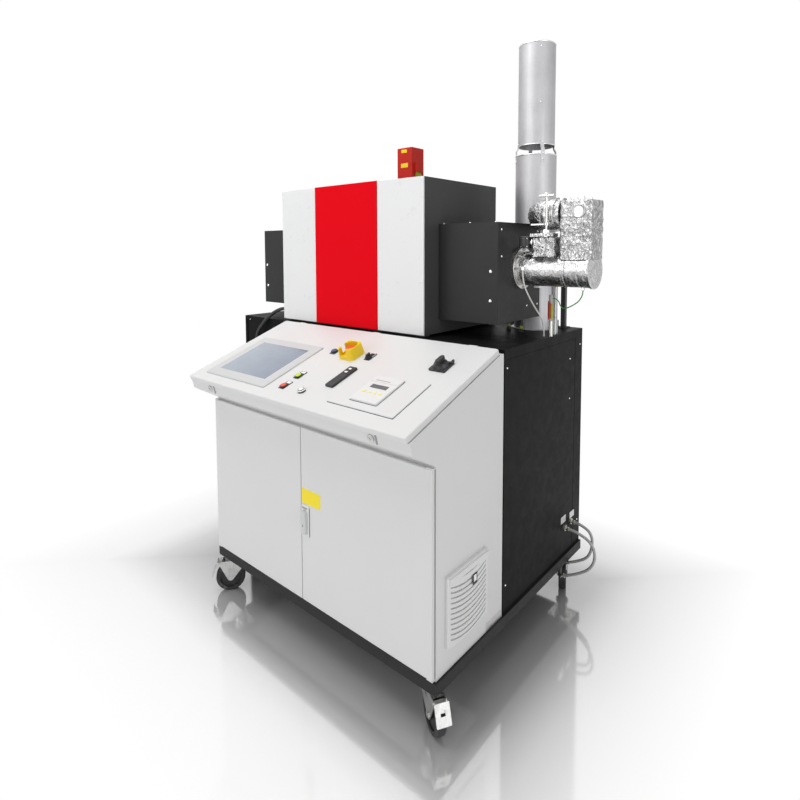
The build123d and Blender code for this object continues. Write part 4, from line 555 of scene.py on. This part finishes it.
LID = Face((0, -138.05, 994.54), (1, 0, 0), (0, 0.94264, 0.33381))
APRON = Face((0, -117.5, 956.5), (1, 0, 0), (0, -0.2714, 0.9625))


def front_face(y):
    """Upright face towards the operator."""
    return Face((0, y, 0), (1, 0, 0), (0, 0, 1))


def right_face(x):
    """Upright face to the operator's right."""
    return Face((x, 0, 0), (0, 1, 0), (0, 0, 1))


def level_face(z):
    """Level face, upward."""
    return Face((0, 0, z), (1, 0, 0), (0, 1, 0))


def outline(half_across, half_along, corner, count):
    """Even points round a rounded rectangle, and the outward directions there.

    The corner arcs and the straight sides are laid end to end, and the points are spaced evenly
    by length along them. A small corner on a plain plate keeps only its own few points.
    """
    corner = min(corner, half_across, half_along)
    turn = np.linspace(0, np.pi / 2, max(3, count // 8))
    turns = (turn[None, :] + np.arange(4)[:, None] * np.pi / 2).ravel()
    sign = np.repeat([[1, 1], [-1, 1], [-1, -1], [1, -1]], len(turn), axis=0)
    out = np.stack([np.cos(turns), np.sin(turns)], 1)
    bend = sign * [half_across - corner, half_along - corner] + corner * out
    bend, out = np.vstack([bend, bend[:1]]), np.vstack([out, out[:1]])
    run = np.concatenate([[0], np.cumsum(np.linalg.norm(np.diff(bend, axis=0), axis=1))])
    run += np.arange(len(run)) * 1e-9
    if corner < 0.25 * min(half_across, half_along) and count <= 64:
        return bend[:-1], out[:-1]
    even = np.linspace(0, run[-1], count, endpoint=False)
    spots = np.stack([np.interp(even, run, bend[:, i]) for i in (0, 1)], 1)
    ways = np.stack([np.interp(even, run, out[:, i]) for i in (0, 1)], 1)
    return spots, ways / np.linalg.norm(ways, axis=1)[:, None]


def closed_rings(rings):
    """Vertices and faces of stacked rings, closed at both ends by a fan to a middle point."""
    steps, around = rings.shape[:2]
    points = np.vstack([rings.reshape(-1, 3), rings[0].mean(0), rings[-1].mean(0)])
    k, i = np.meshgrid(np.arange(steps - 1), np.arange(around), indexing="ij")
    j = (i + 1) % around
    sides = np.stack([k * around + i, k * around + j, (k + 1) * around + j,
                      (k + 1) * around + i], -1).reshape(-1, 4)
    i = np.arange(around)
    j = (i + 1) % around
    low, high = steps * around, steps * around + 1
    top = (steps - 1) * around
    caps = np.vstack([np.stack([np.full(around, low), j, i], 1),
                      np.stack([np.full(around, high), top + i, top + j], 1)])
    return points, [*sides.tolist(), *caps.tolist()]


def raised(face, centre, size, profile, corner=0.0, count=32, turn=0.0):
    """Solid standing on a face: its outline is drawn in and lifted step by step.

    At step k a point is outline(t) - inset_k * outward(t), times 1 - shrink_k, at height_k.
    """
    spots, ways = outline(size[0] / 2, size[1] / 2, corner, count)
    inset, height, shrink = (np.array(list(column), float) for column in zip(
        *[(*row, 0.0)[:3] for row in profile]))
    flat = (spots[None] - inset[:, None, None] * ways[None]) * (1 - shrink)[:, None, None]
    c, s = math.cos(math.radians(turn)), math.sin(math.radians(turn))
    flat = flat @ np.array([[c, s], [-s, c]])
    return closed_rings(face.place(flat[..., 0] + centre[0], flat[..., 1] + centre[1],
                                   height[:, None] + np.zeros(len(spots))))


def disc(face, centre, radius, profile, count=32):
    """Round solid standing on a face."""
    return raised(face, centre, (2 * radius, 2 * radius), profile, radius, count)


def tube_rings(line, radius, upright, around, turn=0.0):
    """Round section carried along a line: centre + radius * (cos t * side + sin t * upright)."""
    line = np.asarray(line, float)
    ahead = np.gradient(line, axis=0)
    ahead /= np.linalg.norm(ahead, axis=1)[:, None]
    side = np.cross(upright, ahead)
    side /= np.linalg.norm(side, axis=1)[:, None]
    up = np.cross(ahead, side)
    angle = np.linspace(0, 2 * np.pi, around, endpoint=False) + turn
    radius = np.broadcast_to(radius, (len(line),))
    return (line[:, None] + radius[:, None, None]
            * (np.cos(angle)[None, :, None] * side[:, None]
               + np.sin(angle)[None, :, None] * up[:, None]))


def combined(parts):
    """One set of vertices and faces from several."""
    points, faces, base = [], [], 0
    for spots, corners in parts:
        points.append(spots)
        faces += [[base + c for c in corner] for corner in corners]
        base += len(spots)
    return np.vstack(points), faces


def piece(name, parts, finish, body, sharp=38.0, replaced=()):
    """Finished mesh object that rides on a body."""
    points, faces = combined(parts)
    mesh = bpy.data.meshes.new(name)
    mesh.from_pydata(settled(points).tolist(), [], faces)
    mesh.polygons.foreach_set("use_smooth", np.ones(len(faces), bool))
    mesh.set_sharp_from_angle(angle=math.radians(sharp))
    mesh.materials.append(finish)
    made = bpy.data.objects.new(name, mesh)
    bpy.context.scene.collection.objects.link(made)
    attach(made, body)
    if replaced:
        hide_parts(*replaced)
    return made


def outward_ways(points, faces):
    """Outward direction at every vertex, from the areas of the faces round it."""
    ways = np.zeros_like(points)
    quads = np.array([f if len(f) == 4 else [*f, f[0]] for f in faces])
    across = np.cross(points[quads[:, 2]] - points[quads[:, 0]],
                      points[quads[:, 3]] - points[quads[:, 1]])
    for corner in range(4):
        np.add.at(ways, quads[:, corner], across)
    return ways / np.maximum(np.linalg.norm(ways, axis=1), 1e-9)[:, None]


def crumpled(part, depth, seed, waves=(64.0, 30.0, 15.0)):
    """Foil pressed round a form: every point goes inward by depth times its crease height.

    The height is the mean over folds of 1 - |sin(2 pi p.d / wave + bend)|, with the folds'
    directions d and bends drawn from the seed, so ridges stay outside and hollows go in.
    """
    points, faces = part
    draw = np.random.default_rng(seed)
    height = np.zeros(len(points))
    total = 0.0
    for wave in waves:
        for fold in range(3):
            way = draw.normal(size=3)
            way /= np.linalg.norm(way)
            other = draw.normal(size=3)
            bend = 1.6 * np.sin(points @ other / (0.45 * wave) + draw.uniform(0, 6.28))
            ridge = np.abs(np.sin(np.pi * (points @ way) / wave + bend))
            height += wave * (1 - ridge)
            total += wave
    return points - outward_ways(points, faces) * (depth * height / total * 2)[:, None], faces


DOME = [(0.0, 0.0), (0.0, 0.9), (0.6, 1.9), (1.9, 2.9), (3.6, 3.4)]


def dome_heads(places, radius):
    """Round-headed screws on their faces, one for each (face, x, y)."""
    ratio = radius / 5.0
    shape = [(inset * ratio, height * ratio) for inset, height in DOME]
    return [disc(face, (x, y), radius, shape, 20) for face, x, y in places]


def hex_heads(places, radius, high):
    """Six-sided heads with a worn rim."""
    shape = [(0, 0), (0, high - 1.2), (0.9, high)]
    made = []
    for face, x, y in places:
        angle = np.arange(6) * np.pi / 3
        way = np.stack([np.cos(angle), np.sin(angle)], 1)
        rings = np.stack([face.place(x + (radius - d) * way[:, 0], y + (radius - d) * way[:, 1],
                                     np.full(6, h)) for d, h in shape])
        made.append(closed_rings(rings))
    return made


def flat_plate(face, centre, size, thick, corner=2.0, turn=0.0, base=0.0):
    """Thin plate with a softened rim."""
    soft = min(0.5, thick / 3)
    return raised(face, centre, size, [(0, base), (0, base + thick - soft), (soft, base + thick)],
                  corner, 32, turn)


# Cords
def cord(name, route, radius, finish):
    """Smooth line whose control points are the route, as thick as the cord."""
    curve = bpy.data.curves.new(name, "CURVE")
    curve.dimensions = "3D"
    spline = curve.splines.new("NURBS")
    points = settled(route)
    spline.points.add(len(points) - 1)
    spline.points.foreach_set("co", np.hstack([points, np.ones((len(points), 1))]).ravel())
    spline.order_u = 3
    spline.use_endpoint_u = True
    spline.resolution_u = 16
    curve.bevel_depth = radius * MM
    curve.bevel_resolution = 5
    curve.use_fill_caps = True
    curve.materials.append(finish)
    made = bpy.data.objects.new(name, curve)
    bpy.context.scene.collection.objects.link(made)
    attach(made, "stand")
    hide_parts(name.replace("_line", ""))
    return made


supply_route = [(622, 923, 316), (652, 923, 316), (728, 923, 290), (742, 923, 212),
                (690, 923, 142), (606, 923, 101)]
return_route = [(622, 984, 322), (652, 984, 322), (704, 984, 294), (700, 982, 210),
                (664, 978, 165), (606, 975, 138)]
conduit_route = [(-674, 432, 1222), (-715, 432, 1222), (-765, 390, 1180), (-838, 381, 1105),
                 (-852, 381, 1070), (-852, 381, 1030)]
sensor_route = [(556, 609.5, 1440), (556, 609.5, 1395), (564, 645, 1337), (566, 700, 1285),
                (571, 755, 1236), (571, 765, 1200), (571, 765, 1168)]
earth_route = [(600, 782, 1322), (622, 782, 1322), (640, 768, 1288), (680, 735, 1290),
               (760, 690, 1335), (760, 690, 1368)]

cord("hose_supply_line", supply_route, 6.0, finishes["hose_grey"])
cord("hose_return_line", return_route, 6.0, finishes["hose_grey"])
cord("conduit_line", conduit_route, 9.0, finishes["cable_black"])
cord("sensor_cable_line", sensor_route, 3.0, finishes["cable_grey"])
cord("earth_wire_line", earth_route, 2.2, finishes["cable_green"])


# Foil-wrapped exhaust
TUBE_Y, TUBE_Z = 683.0, 1445.0
TUBE_POINTS = 168
CHIMNEY_X, CHIMNEY_Y = 421.0, 975.0
DUCT_Z, DUCT_RADIUS = 1652.0, 59.0
UP = np.array([0.0, 0.0, 1.0])


def along_tube(profile):
    """Rings about the work tube's axis, from (x, radius) pairs, closed at both ends."""
    x, radius = np.array(profile, float).T
    line = np.stack([x, np.full_like(x, TUBE_Y), np.full_like(x, TUBE_Z)], 1)
    angle = np.linspace(0, 2 * np.pi, TUBE_POINTS, endpoint=False)
    rings = np.stack([np.broadcast_to(x[:, None], (len(x), TUBE_POINTS)),
                      TUBE_Y + radius[:, None] * np.cos(angle),
                      TUBE_Z + radius[:, None] * np.sin(angle)], -1)
    return closed_rings(rings)


def densified(profile, step):
    """Profile with extra points, so that no step along it is longer than the given one."""
    profile = np.array(profile, float)
    run = np.concatenate([[0], np.cumsum(np.linalg.norm(np.diff(profile, axis=0), axis=1))])
    marks = [np.linspace(a, b, max(2, int((b - a) / step) + 1))[:-1]
             for a, b in zip(run[:-1], run[1:]) if b > a]
    marks = np.concatenate([*marks, run[-1:]])
    return np.stack([np.interp(marks, run, profile[:, i]) for i in (0, 1)], 1)


spool_skin = densified([(530.5, 40), (530.5, 66), (533, 68), (700, 68), (703, 66.6), (706, 68),
                        (712, 66.4), (718, 68), (760, 68), (764, 66.2), (768, 68), (794, 68),
                        (795.5, 71), (806, 72), (808, 69), (808, 8)], 2.6)
piece("spool_foil", [crumpled(along_tube(spool_skin), 0.9, 4)], extra_finishes["fine_foil"],
      "stand", 50.0, ["exhaust_spool"])
piece("spool_flange", [
    along_tube([(514.3, 50.0), (514.3, 81.2), (515.0, 82), (521.3, 82), (522.0, 81.2),
                (522.0, 66), (531.5, 65), (531.5, 50)]),
], finishes["stainless"], "stand", 30.0, ["exhaust_spool"])
piece("sensor_lugs", [
    raised(level_face(1440), (556, 625), (12, 40), [(0.8, 0), (0, 0.8), (0, 13.2), (0.8, 14)], 2),
    raised(level_face(1368), (760, 690), (12, 12), [(0.8, 0), (0, 0.8), (0, 14), (0.8, 15)], 2),
], extra_finishes["bright_steel"], "stand", 38.0, ["exhaust_spool"])


def wrapped_block(low, high, corner, shoulder, count, step):
    """Rounded upright block: even rings up its sides, over its shoulder and in to the middle."""
    sides = np.arange(low[2], high[2] - shoulder, step)
    bend = np.linspace(0, np.pi / 2, 5)
    rows = [(0, 0, 0.9), (0, 0, 0.45), *[(0, z - low[2], 0) for z in sides]]
    rows += [(shoulder * (1 - math.cos(a)), high[2] - low[2] - shoulder * (1 - math.sin(a)), 0)
             for a in bend]
    rows += [(shoulder, high[2] - low[2], s) for s in np.linspace(0.08, 0.96, 16)]
    size = (high[0] - low[0], high[1] - low[1])
    middle = ((low[0] + high[0]) / 2, (low[1] + high[1]) / 2)
    return raised(level_face(low[2]), middle, size, rows, corner, count)


piece("valve_box_foil", [crumpled(wrapped_block((690, 620, 1480), (815, 745, 1700), 14, 8, 176, 2.9),
                                  3.4, 11, (58.0, 30.0, 16.0))],
      finishes["foil"], "stand", 55.0, ["valve_box"])
port = front_face(620)
piece("valve_port", [
    disc(port, (768, 1657), 25, [(0, -6), (0, 3.5), (0.8, 5.2), (2.2, 6), (4.0, 5.2), (5.0, 3.6),
                                 (8.0, 3.0), (14.0, 3.4), (20.0, 3.1)], 48),
], extra_finishes["bare_tag"], "stand", 50.0, ["valve_box"])
box_top = level_face(1700)
piece("valve_cover_bolts", [
    *hex_heads([(box_top, 732.5 + 27 * (i - 1.5), 682.5 + 76 * (j - 0.5))
                for i in range(4) for j in range(2)], 6.5, 11),
], extra_finishes["bright_steel"], "stand", 30.0, ["valve_box"])


def duct_centre_line():
    """Middle of the duct, level at DUCT_Z: out of the valve box, round to the back, on to the
    chimney. Straight runs joined by two round bends, cut off inside the chimney's wall."""
    corner_x, turn_y, far_y = 572.0, 758.0, 935.0
    near_bend, far_bend = 75.0, 90.0
    inside_chimney = 84.0
    first = np.stack([np.linspace(689.7, corner_x + near_bend, 16), np.full(16, TUBE_Y)], 1)
    turn = np.linspace(0, np.pi / 2, 44)[1:]
    bend = np.stack([corner_x + near_bend - near_bend * np.sin(turn),
                     turn_y - near_bend * np.cos(turn)], 1)
    skew = math.atan2(CHIMNEY_Y - far_y, corner_x - CHIMNEY_X)
    reach = far_bend * math.tan((np.pi / 2 - skew) / 2)
    run = np.stack([np.full(12, corner_x), np.linspace(turn_y, far_y - reach, 13)[1:]], 1)
    turn = np.linspace(0, np.pi / 2 - skew, 40)[1:]
    last = np.stack([corner_x - far_bend + far_bend * np.cos(turn),
                     far_y - reach + far_bend * np.sin(turn)], 1)
    way = np.array([-math.cos(skew), math.sin(skew)])
    end = last[-1] + way * np.linspace(0, 60, 22)[1:, None]
    flat = np.vstack([first, bend, run, last, end])
    flat = flat[np.linalg.norm(flat - [CHIMNEY_X, CHIMNEY_Y], axis=1) > inside_chimney]
    return np.column_stack([flat, np.full(len(flat), DUCT_Z)])


duct_line = duct_centre_line()
run_length = np.concatenate([[0], np.cumsum(np.linalg.norm(np.diff(duct_line, axis=0), axis=1))])
duct_radius = DUCT_RADIUS - 1.1 * np.clip(np.sin(run_length * 2 * np.pi / 5.2), 0, 1) * (
    (run_length > 118) & (run_length < 170))
duct_radius -= 2.2 * np.exp(-((run_length - 112) / 4.0) ** 2)
duct_radius -= 2.0 * np.exp(-((run_length - 62) / 3.0) ** 2)
duct_rings = tube_rings(duct_line, duct_radius, UP, 160)
piece("duct_foil", [crumpled(closed_rings(duct_rings), 2.6, 23, (52.0, 24.0, 12.0))],
      finishes["foil"], "stand", 55.0, ["exhaust_duct"])
collar_line = np.stack([np.linspace(668, 628, 15), np.full(15, TUBE_Y), np.full(15, DUCT_Z)], 1)
collar_radius = 63.0 - 1.6 * np.array([1.4, .2, 0, .2, 1, .2, 0, 0, 0, .2, 1, .2, 0, .2, 1.4])
piece("duct_band", [crumpled(closed_rings(tube_rings(collar_line, collar_radius, UP, 120)), 1.2, 31,
                             (30.0, 14.0, 8.0))],
      extra_finishes["fine_foil"], "stand", 50.0, ["exhaust_duct"])

piece("purge_foil", [
    crumpled(wrapped_block((592, 600, 1490), (685, 690, 1568), 12, 6, 120, 2.8), 4.2, 41,
             (40.0, 22.0, 12.0)),
    crumpled(wrapped_block((584, 596, 1566), (681, 650, 1580), 5, 3, 96, 2.4), 2.4, 42,
             (30.0, 16.0, 9.0)),
], finishes["foil"], "stand", 55.0, ["purge_valve"])
piece("purge_drive", [
    raised(level_face(1524), (562, 626), (40, 44), [(1.5, 0), (0, 1.5), (0, 43.5), (1.5, 45)], 3),
    raised(level_face(1530), (558, 626), (26, 50), [(1, 0), (0, 1), (0, 31), (1, 32)], 3),
], finishes["black_plastic"], "stand", 38.0, ["purge_valve"])
neck_line = np.array([(593.0, 626, 1546), (588, 626, 1546), (587.5, 626, 1546), (582, 626, 1546)])
piece("purge_neck", [
    closed_rings(tube_rings(neck_line, np.array([16.0, 16.0, 13.0, 13.0]), UP, 28)),
    *hex_heads([(level_face(1580), 648, 613)], 12, 12),
], extra_finishes["bright_steel"], "stand", 30.0, ["purge_valve"])
piece("drive_screws", dome_heads([(front_face(604), 549, 1560), (front_face(604), 575, 1530),
                                  (front_face(604), 549, 1530), (front_face(604), 575, 1560)], 2.6),
      extra_finishes["bright_steel"], "stand")


# Control desk
piece("legend_tags", [
    flat_plate(LID, (-50, 181), (22, 12), 0.5, 1.0, base=1.6),
    flat_plate(LID, (-50, 108), (22, 12), 0.5, 1.0, base=1.6),
], extra_finishes["white_tag"], "lid")
piece("signal_lens", [
    disc(LID, (55, 80), 14.7, [(0.0, 0.2), (0.0, 6.5), (1.2, 7.6), (2.6, 8.2), (3.2, 10.0),
                               (5.2, 12.4), (8.2, 14.0), (11.5, 14.6)], 40),
], extra_finishes["lens_clear"], "lid")
piece("switch_ring", [
    disc(LID, (463, 374), 31.0, [(0, 6.0), (0, 7.6), (1.4, 8.6), (2.6, 8.0), (3.0, 6.4)], 56),
    raised(LID, (491, 402), (7, 22), [(0, 6.0), (0, 13.0), (1.5, 14.0)], 3.4, 20),
    disc(LID, (463, 374), 21.0, [(0, 18.2), (0, 19.2), (1.0, 20.0)], 48),
], finishes["black_plastic"], "lid")
piece("panel_screw", dome_heads([(LID, -38, 242)], 2.4), extra_finishes["bright_steel"], "lid")
# Painted shadow: a dark plate a little larger than the limiter plate, which shows as a dark line round
# its edges.
piece("limiter_shadow", [flat_plate(LID, (351.5, 163.2), (293.4, 203.2), 1.2, 2.0)],
      extra_finishes["dark_trim_and_painted_shade"], "lid")
# A dark plate a little larger than the module, which shows as a thin dark outline round it.
piece("module_dark_outline", [flat_plate(LID, (343, 170), (124.6, 152.6), 0.9, 4.5, base=5.0)],
      extra_finishes["dark_trim_and_painted_shade"], "lid")
piece("module_display", [flat_plate(LID, (345, 181), (72.6, 20.6), 0.9, 1.0, base=11.6)],
      extra_finishes["lcd_grey"], "lid")
piece("module_lines", [
    flat_plate(LID, (343, 206), (116, 0.9), 0.25, 0.2, base=13.0),
    flat_plate(LID, (333, 216), (66, 3.4), 0.2, 0.6, base=13.0),
], extra_finishes["rib_grey"], "lid")
piece("module_keys", [
    *[flat_plate(LID, (342 + 24 * (i - 1.5), 144), (14, 9), 0.5, 1.8, base=13.8) for i in range(4)],
    *[disc(LID, (x, 124), 2.6, [(0, 13.0), (0, 13.3), (0.5, 13.6)], 16) for x in (319, 365)],
], extra_finishes["pale_key"], "lid")
piece("operator_marks", [flat_plate(LID, (139, y), (13, 9), 0.4, 1.0, base=10.2)
                         for y in (228, 250)],
      extra_finishes["white_tag"], "lid")
piece("operator_shutter", [flat_plate(LID, (139, 180), (20, 40), 0.3, 1.5, base=9.0)],
      extra_finishes["dark_trim_and_painted_shade"], "lid")
piece("reset_base", [flat_plate(LID, (-50, 350), (30, 34), 1.6, 2.5)], finishes["blue_plastic"],
      "lid")
piece("key_rod", [raised(LID, (154, 368), (3.2, 30), [(0, 1.6), (0, 5.2), (0.8, 6.0)], 1.5, 16)],
      extra_finishes["rib_grey"], "lid")
piece("apron_ribs", [
    raised(APRON, (x, 0), (5, 34), [(0, 0), (0, 2.4), (0.8, 3.0)], 1.6, 20) for x in (-429, 466)
], extra_finishes["rib_grey"], "stand")


# Doors and side walls
door_front = front_face(-18)
piece("door_plate", [flat_plate(door_front, (43, 611), (104, 56), 0.6, 2.0)],
      extra_finishes["yellow_film"], "door_right")
handle_front = front_face(-22)
piece("handle_badge", [flat_plate(handle_front, (10, 567), (26, 6), 0.5, 1.5)],
      extra_finishes["rib_grey"], "door_right")
# Painted shadow: a dark strip along the handle's right edge.
piece("handle_shadow", [flat_plate(door_front, (33.4, 516), (2.6, 112), 1.0, 1.0)],
      extra_finishes["dark_trim_and_painted_shade"], "door_right")
desk_right = right_face(600)
piece("filter_mat", [flat_plate(right_face(603), (163, 392), (202, 196), 3.0, 2.0)],
      extra_finishes["filter_mat"], "stand")
piece("grille_badge", [flat_plate(right_face(617.5), (190, 444), (26, 36), 1.3, 1.5)],
      extra_finishes["dark_trim_and_painted_shade"], "stand")
piece("grille_badge_face", [flat_plate(right_face(618.6), (190, 446), (16, 22), 0.4, 1.0)],
      extra_finishes["white_tag"], "stand")
piece("side_plate", [flat_plate(desk_right, (339, 210), (104, 34), 0.6, 1.5)],
      extra_finishes["bare_tag"], "stand")
piece("hose_tags", [
    flat_plate(desk_right, (916, 354), (48, 30), 0.7, 2.0),
    flat_plate(desk_right, (1004, 346), (46, 28), 0.7, 2.0),
], extra_finishes["bare_tag"], "stand")


# Furnace screws and tags
white_front = front_face(411)
box_front = front_face(510)
box_right = right_face(505.5)
piece("furnace_screws", [
    *dome_heads([(white_front, x, z) for x, z in (
        (-651, 1791), (-648, 1386), (-648, 1187), (-419, 1597), (219, 1794), (219, 1391),
        (219, 1190), (-423, 1187), (-423, 1794), (-8, 1794), (-8, 1190))], 2.6),
    *dome_heads([(front_face(400), x, z) for x, z in ((-940, 1150), (-640, 1150))], 2.6),
], extra_finishes["bright_steel"], "stand")
piece("end_box_screws", [
    *dome_heads([(box_front, 474, 1436), (box_front, 473, 1324), (box_front, -929, 1438),
                 (box_front, -924, 1327)], 7.4),
    *dome_heads([(box_right, 535, 1595), (box_right, 537, 1494), (box_right, 740, 1291),
                 (box_right, 830, 1595), (box_right, 830, 1291)], 5.0),
    *dome_heads([(level_face(1623), 252, 518), (level_face(1623), 376, 518),
                 (level_face(1623), 490, 518)], 4.6),
], extra_finishes["bright_steel"], "stand")
piece("cabinet_screws", dome_heads([(desk_right, 957, 1050), (desk_right, 958, 877),
                                    (desk_right, 420, 1100), (desk_right, 420, 300),
                                    (desk_right, 1060, 1100), (desk_right, 1060, 300)], 4.0),
      extra_finishes["bright_steel"], "stand")
ignition_front = front_face(700)
piece("ignition_tags", [
    flat_plate(ignition_front, (-112, 1979), (34, 15), 0.6, 1.5),
    flat_plate(ignition_front, (-110, 1913), (42, 20), 0.6, 1.5),
], extra_finishes["yellow_film"], "stand")
piece("ignition_terminal", [
    flat_plate(right_face(-65), (742, 1872), (34, 52), 9.0, 3.0),
    *[flat_plate(right_face(-56), (742, 1856 + 11 * i), (28, 7), 1.6, 1.0) for i in range(4)],
], extra_finishes["earth_sleeve"], "stand")


def around_chimney(turn, z, radius):
    """Face on the chimney at a compass turn in degrees."""
    c, s = math.cos(math.radians(turn)), math.sin(math.radians(turn))
    return Face((CHIMNEY_X + radius * c, CHIMNEY_Y + radius * s, z), (-s, c, 0), (0, 0, 1))


strap_rivets = [(turn, z, radius) for z, radius in ((1905, 90.0), (1932, 90.0), (1980, 81.0))
                for turn in (45, 135, 225, 315)]
seam_rivets = [(turn, z, 79.0) for z in (2148, 2380) for turn in (309, 129)]
piece("chimney_rivets", dome_heads([(around_chimney(*place), 0, 0)
                                    for place in strap_rivets + seam_rivets], 3.6),
      extra_finishes["bright_steel"], "stand")


def pipe_rim(radius, z, wall, high):
    """Rolled rim round the chimney: a ring of small round section."""
    around, section = 96, 10
    turn = np.linspace(0, 2 * np.pi, around, endpoint=False)
    bend = np.linspace(0, 2 * np.pi, section, endpoint=False)[:, None]
    r = radius + wall * np.cos(bend)
    rings = np.stack([CHIMNEY_X + r * np.cos(turn), CHIMNEY_Y + r * np.sin(turn),
                      np.broadcast_to(z + high * np.sin(bend), (section, around))], -1)
    k, i = np.meshgrid(np.arange(section), np.arange(around), indexing="ij")
    m, j = (k + 1) % section, (i + 1) % around
    faces = np.stack([k * around + i, k * around + j, m * around + j, m * around + i], -1)
    return rings.reshape(-1, 3), faces.reshape(-1, 4).tolist()


piece("chimney_rims", [pipe_rim(79.4, 1972, 1.6, 2.4), pipe_rim(79.0, 2402.2, 1.6, 2.4),
                       pipe_rim(88.4, 1928, 1.6, 2.4)],
      extra_finishes["bright_steel"], "stand", 60.0)


def sleeve(x, y, low, high, radius):
    """Short sleeve round an upright line."""
    line = np.array([(x, y, low), (x, y, low + 0.8), (x, y, high - 0.8), (x, y, high)], float)
    return closed_rings(tube_rings(line, np.array([radius - 0.8, radius, radius, radius - 0.8]),
                                   np.array([1.0, 0.0, 0.0]), 24))


piece("line_sleeves", [sleeve(369, 840, 1184, 1204, 7.6), sleeve(447, 806, 1184, 1204, 7.6),
                       sleeve(598, 776, 1240, 1300, 4.6)],
      extra_finishes["earth_sleeve"], "stand")
piece("red_sleeves", [sleeve(586, 774, 1236, 1312, 3.4), sleeve(592, 770, 1244, 1306, 3.2)],
      extra_finishes["red_sleeve"], "stand")


# Floor, background and lamps
# Metres beyond the stand's footprint at which the floor's painted shade and mirror image start to fade
# and are gone.
SHADE_FULL, SHADE_GONE = 0.08, 0.62
STAND_MIDDLE, STAND_HALF = (-0.105, 0.06, 0.0), (0.795, 0.55, 9.0)


def make_floor():
    """Polished pale floor: painted shade and mirror image near the furnace, plain white further off.
    """
    reach = 9.0
    corners = [(-reach, -reach, 0.0), (reach, -reach, 0.0), (reach, reach, 0.0), (-reach, reach, 0.0)]
    mesh = bpy.data.meshes.new("floor")
    mesh.from_pydata(corners, [], [[0, 1, 2, 3]])
    made = bpy.data.materials.new("floor_coat")
    made.use_nodes = True
    tree = made.node_tree
    tree.nodes.clear()
    place = tree.nodes.new("ShaderNodeTexCoord").outputs["Object"]
    off = add(tree, "VectorMath", {0: place, 1: STAND_MIDDLE}, operation="SUBTRACT").outputs[0]
    off = add(tree, "VectorMath", {0: off}, operation="ABSOLUTE").outputs[0]
    off = add(tree, "VectorMath", {0: off, 1: STAND_HALF}, operation="SUBTRACT").outputs[0]
    sides = add(tree, "SeparateXYZ", {0: off})
    beyond = arithmetic(tree, "MAXIMUM", sides.outputs[0], sides.outputs[1])
    near = ranged(tree, beyond, SHADE_FULL, SHADE_GONE, 1.0, 0.0)
    # Painted shade: the floor's colour goes from 0.2 under the stand to 0.94 a quarter metre beyond
    # its footprint.
    shade = ranged(tree, beyond, -0.2, 0.25, 0.2, 0.94)
    grey = add(tree, "CombineColor", {0: shade, 1: shade, 2: shade}).outputs[0]
    matt = add(tree, "BsdfDiffuse", {"Color": grey})
    gloss = add(tree, "BsdfAnisotropic", {"Color": (1, 1, 1, 1), "Roughness": 0.08})
    white = add(tree, "Emission", {"Color": (1, 1, 1, 1), "Strength": 1.0})
    shown = add(tree, "MixShader", {0: 0.42, 1: matt.outputs[0], 2: gloss.outputs[0]})
    faded = add(tree, "MixShader", {0: near, 1: white.outputs[0], 2: shown.outputs[0]})
    path = tree.nodes.new("ShaderNodeLightPath")
    seen = arithmetic(tree, "MAXIMUM", path.outputs["Is Camera Ray"],
                      path.outputs["Is Glossy Ray"])
    seen = arithmetic(tree, "MAXIMUM", seen, path.outputs["Is Transmission Ray"])
    last = add(tree, "MixShader", {0: seen, 1: matt.outputs[0], 2: faded.outputs[0]})
    out = tree.nodes.new("ShaderNodeOutputMaterial")
    tree.links.new(last.outputs[0], out.inputs[0])
    mesh.materials.append(made)
    floor = bpy.data.objects.new("floor", mesh)
    bpy.context.scene.collection.objects.link(floor)


def make_world():
    """White where the camera, metal or glass looks at it, and a soft grey light otherwise."""
    world = bpy.data.worlds.new("studio")
    bpy.context.scene.world = world
    world.use_nodes = True
    tree = world.node_tree
    tree.nodes.clear()
    path = tree.nodes.new("ShaderNodeLightPath")
    seen = arithmetic(tree, "MAXIMUM", path.outputs["Is Camera Ray"],
                      path.outputs["Is Transmission Ray"])
    glossy = arithmetic(tree, "MULTIPLY", path.outputs["Is Glossy Ray"], 0.7)
    seen = arithmetic(tree, "MAXIMUM", seen, glossy)
    soft = add(tree, "Background", {"Color": (1, 1, 1, 1), "Strength": 0.36})
    white = add(tree, "Background", {"Color": (1, 1, 1, 1), "Strength": 1.0})
    mixed = add(tree, "MixShader", {0: seen, 1: soft.outputs[0], 2: white.outputs[0]})
    out = tree.nodes.new("ShaderNodeOutputWorld")
    tree.links.new(mixed.outputs[0], out.inputs[0])


def soft_lamp(name, place, target, size, power):
    """Square soft box aimed at a point."""
    data = bpy.data.lights.new(name, "AREA")
    data.shape = "SQUARE"
    data.size = size
    data.energy = power
    lamp = bpy.data.objects.new(name, data)
    bpy.context.scene.collection.objects.link(lamp)
    place, target = np.array(place, float), np.array(target, float)
    back = place - target
    back /= np.linalg.norm(back)
    side = np.cross(UP, back)
    side /= np.linalg.norm(side)
    turn = np.eye(4)
    turn[:3, 0], turn[:3, 1], turn[:3, 2], turn[:3, 3] = side, np.cross(back, side), back, place
    lamp.matrix_world = Matrix(turn.tolist())


make_floor()
make_world()
soft_lamp("overhead_box", (-0.6, -1.0, 5.2), (0.0, 0.0, 0.9), 4.0, 158.0)
soft_lamp("front_box", (-1.2, -5.4, 2.6), (0.0, 0.0, 1.0), 3.2, 82.0)
soft_lamp("side_box", (4.6, -1.2, 1.7), (0.0, 0.0, 0.8), 2.6, 50.0)

bpy.context.scene.view_settings.view_transform = "Standard"
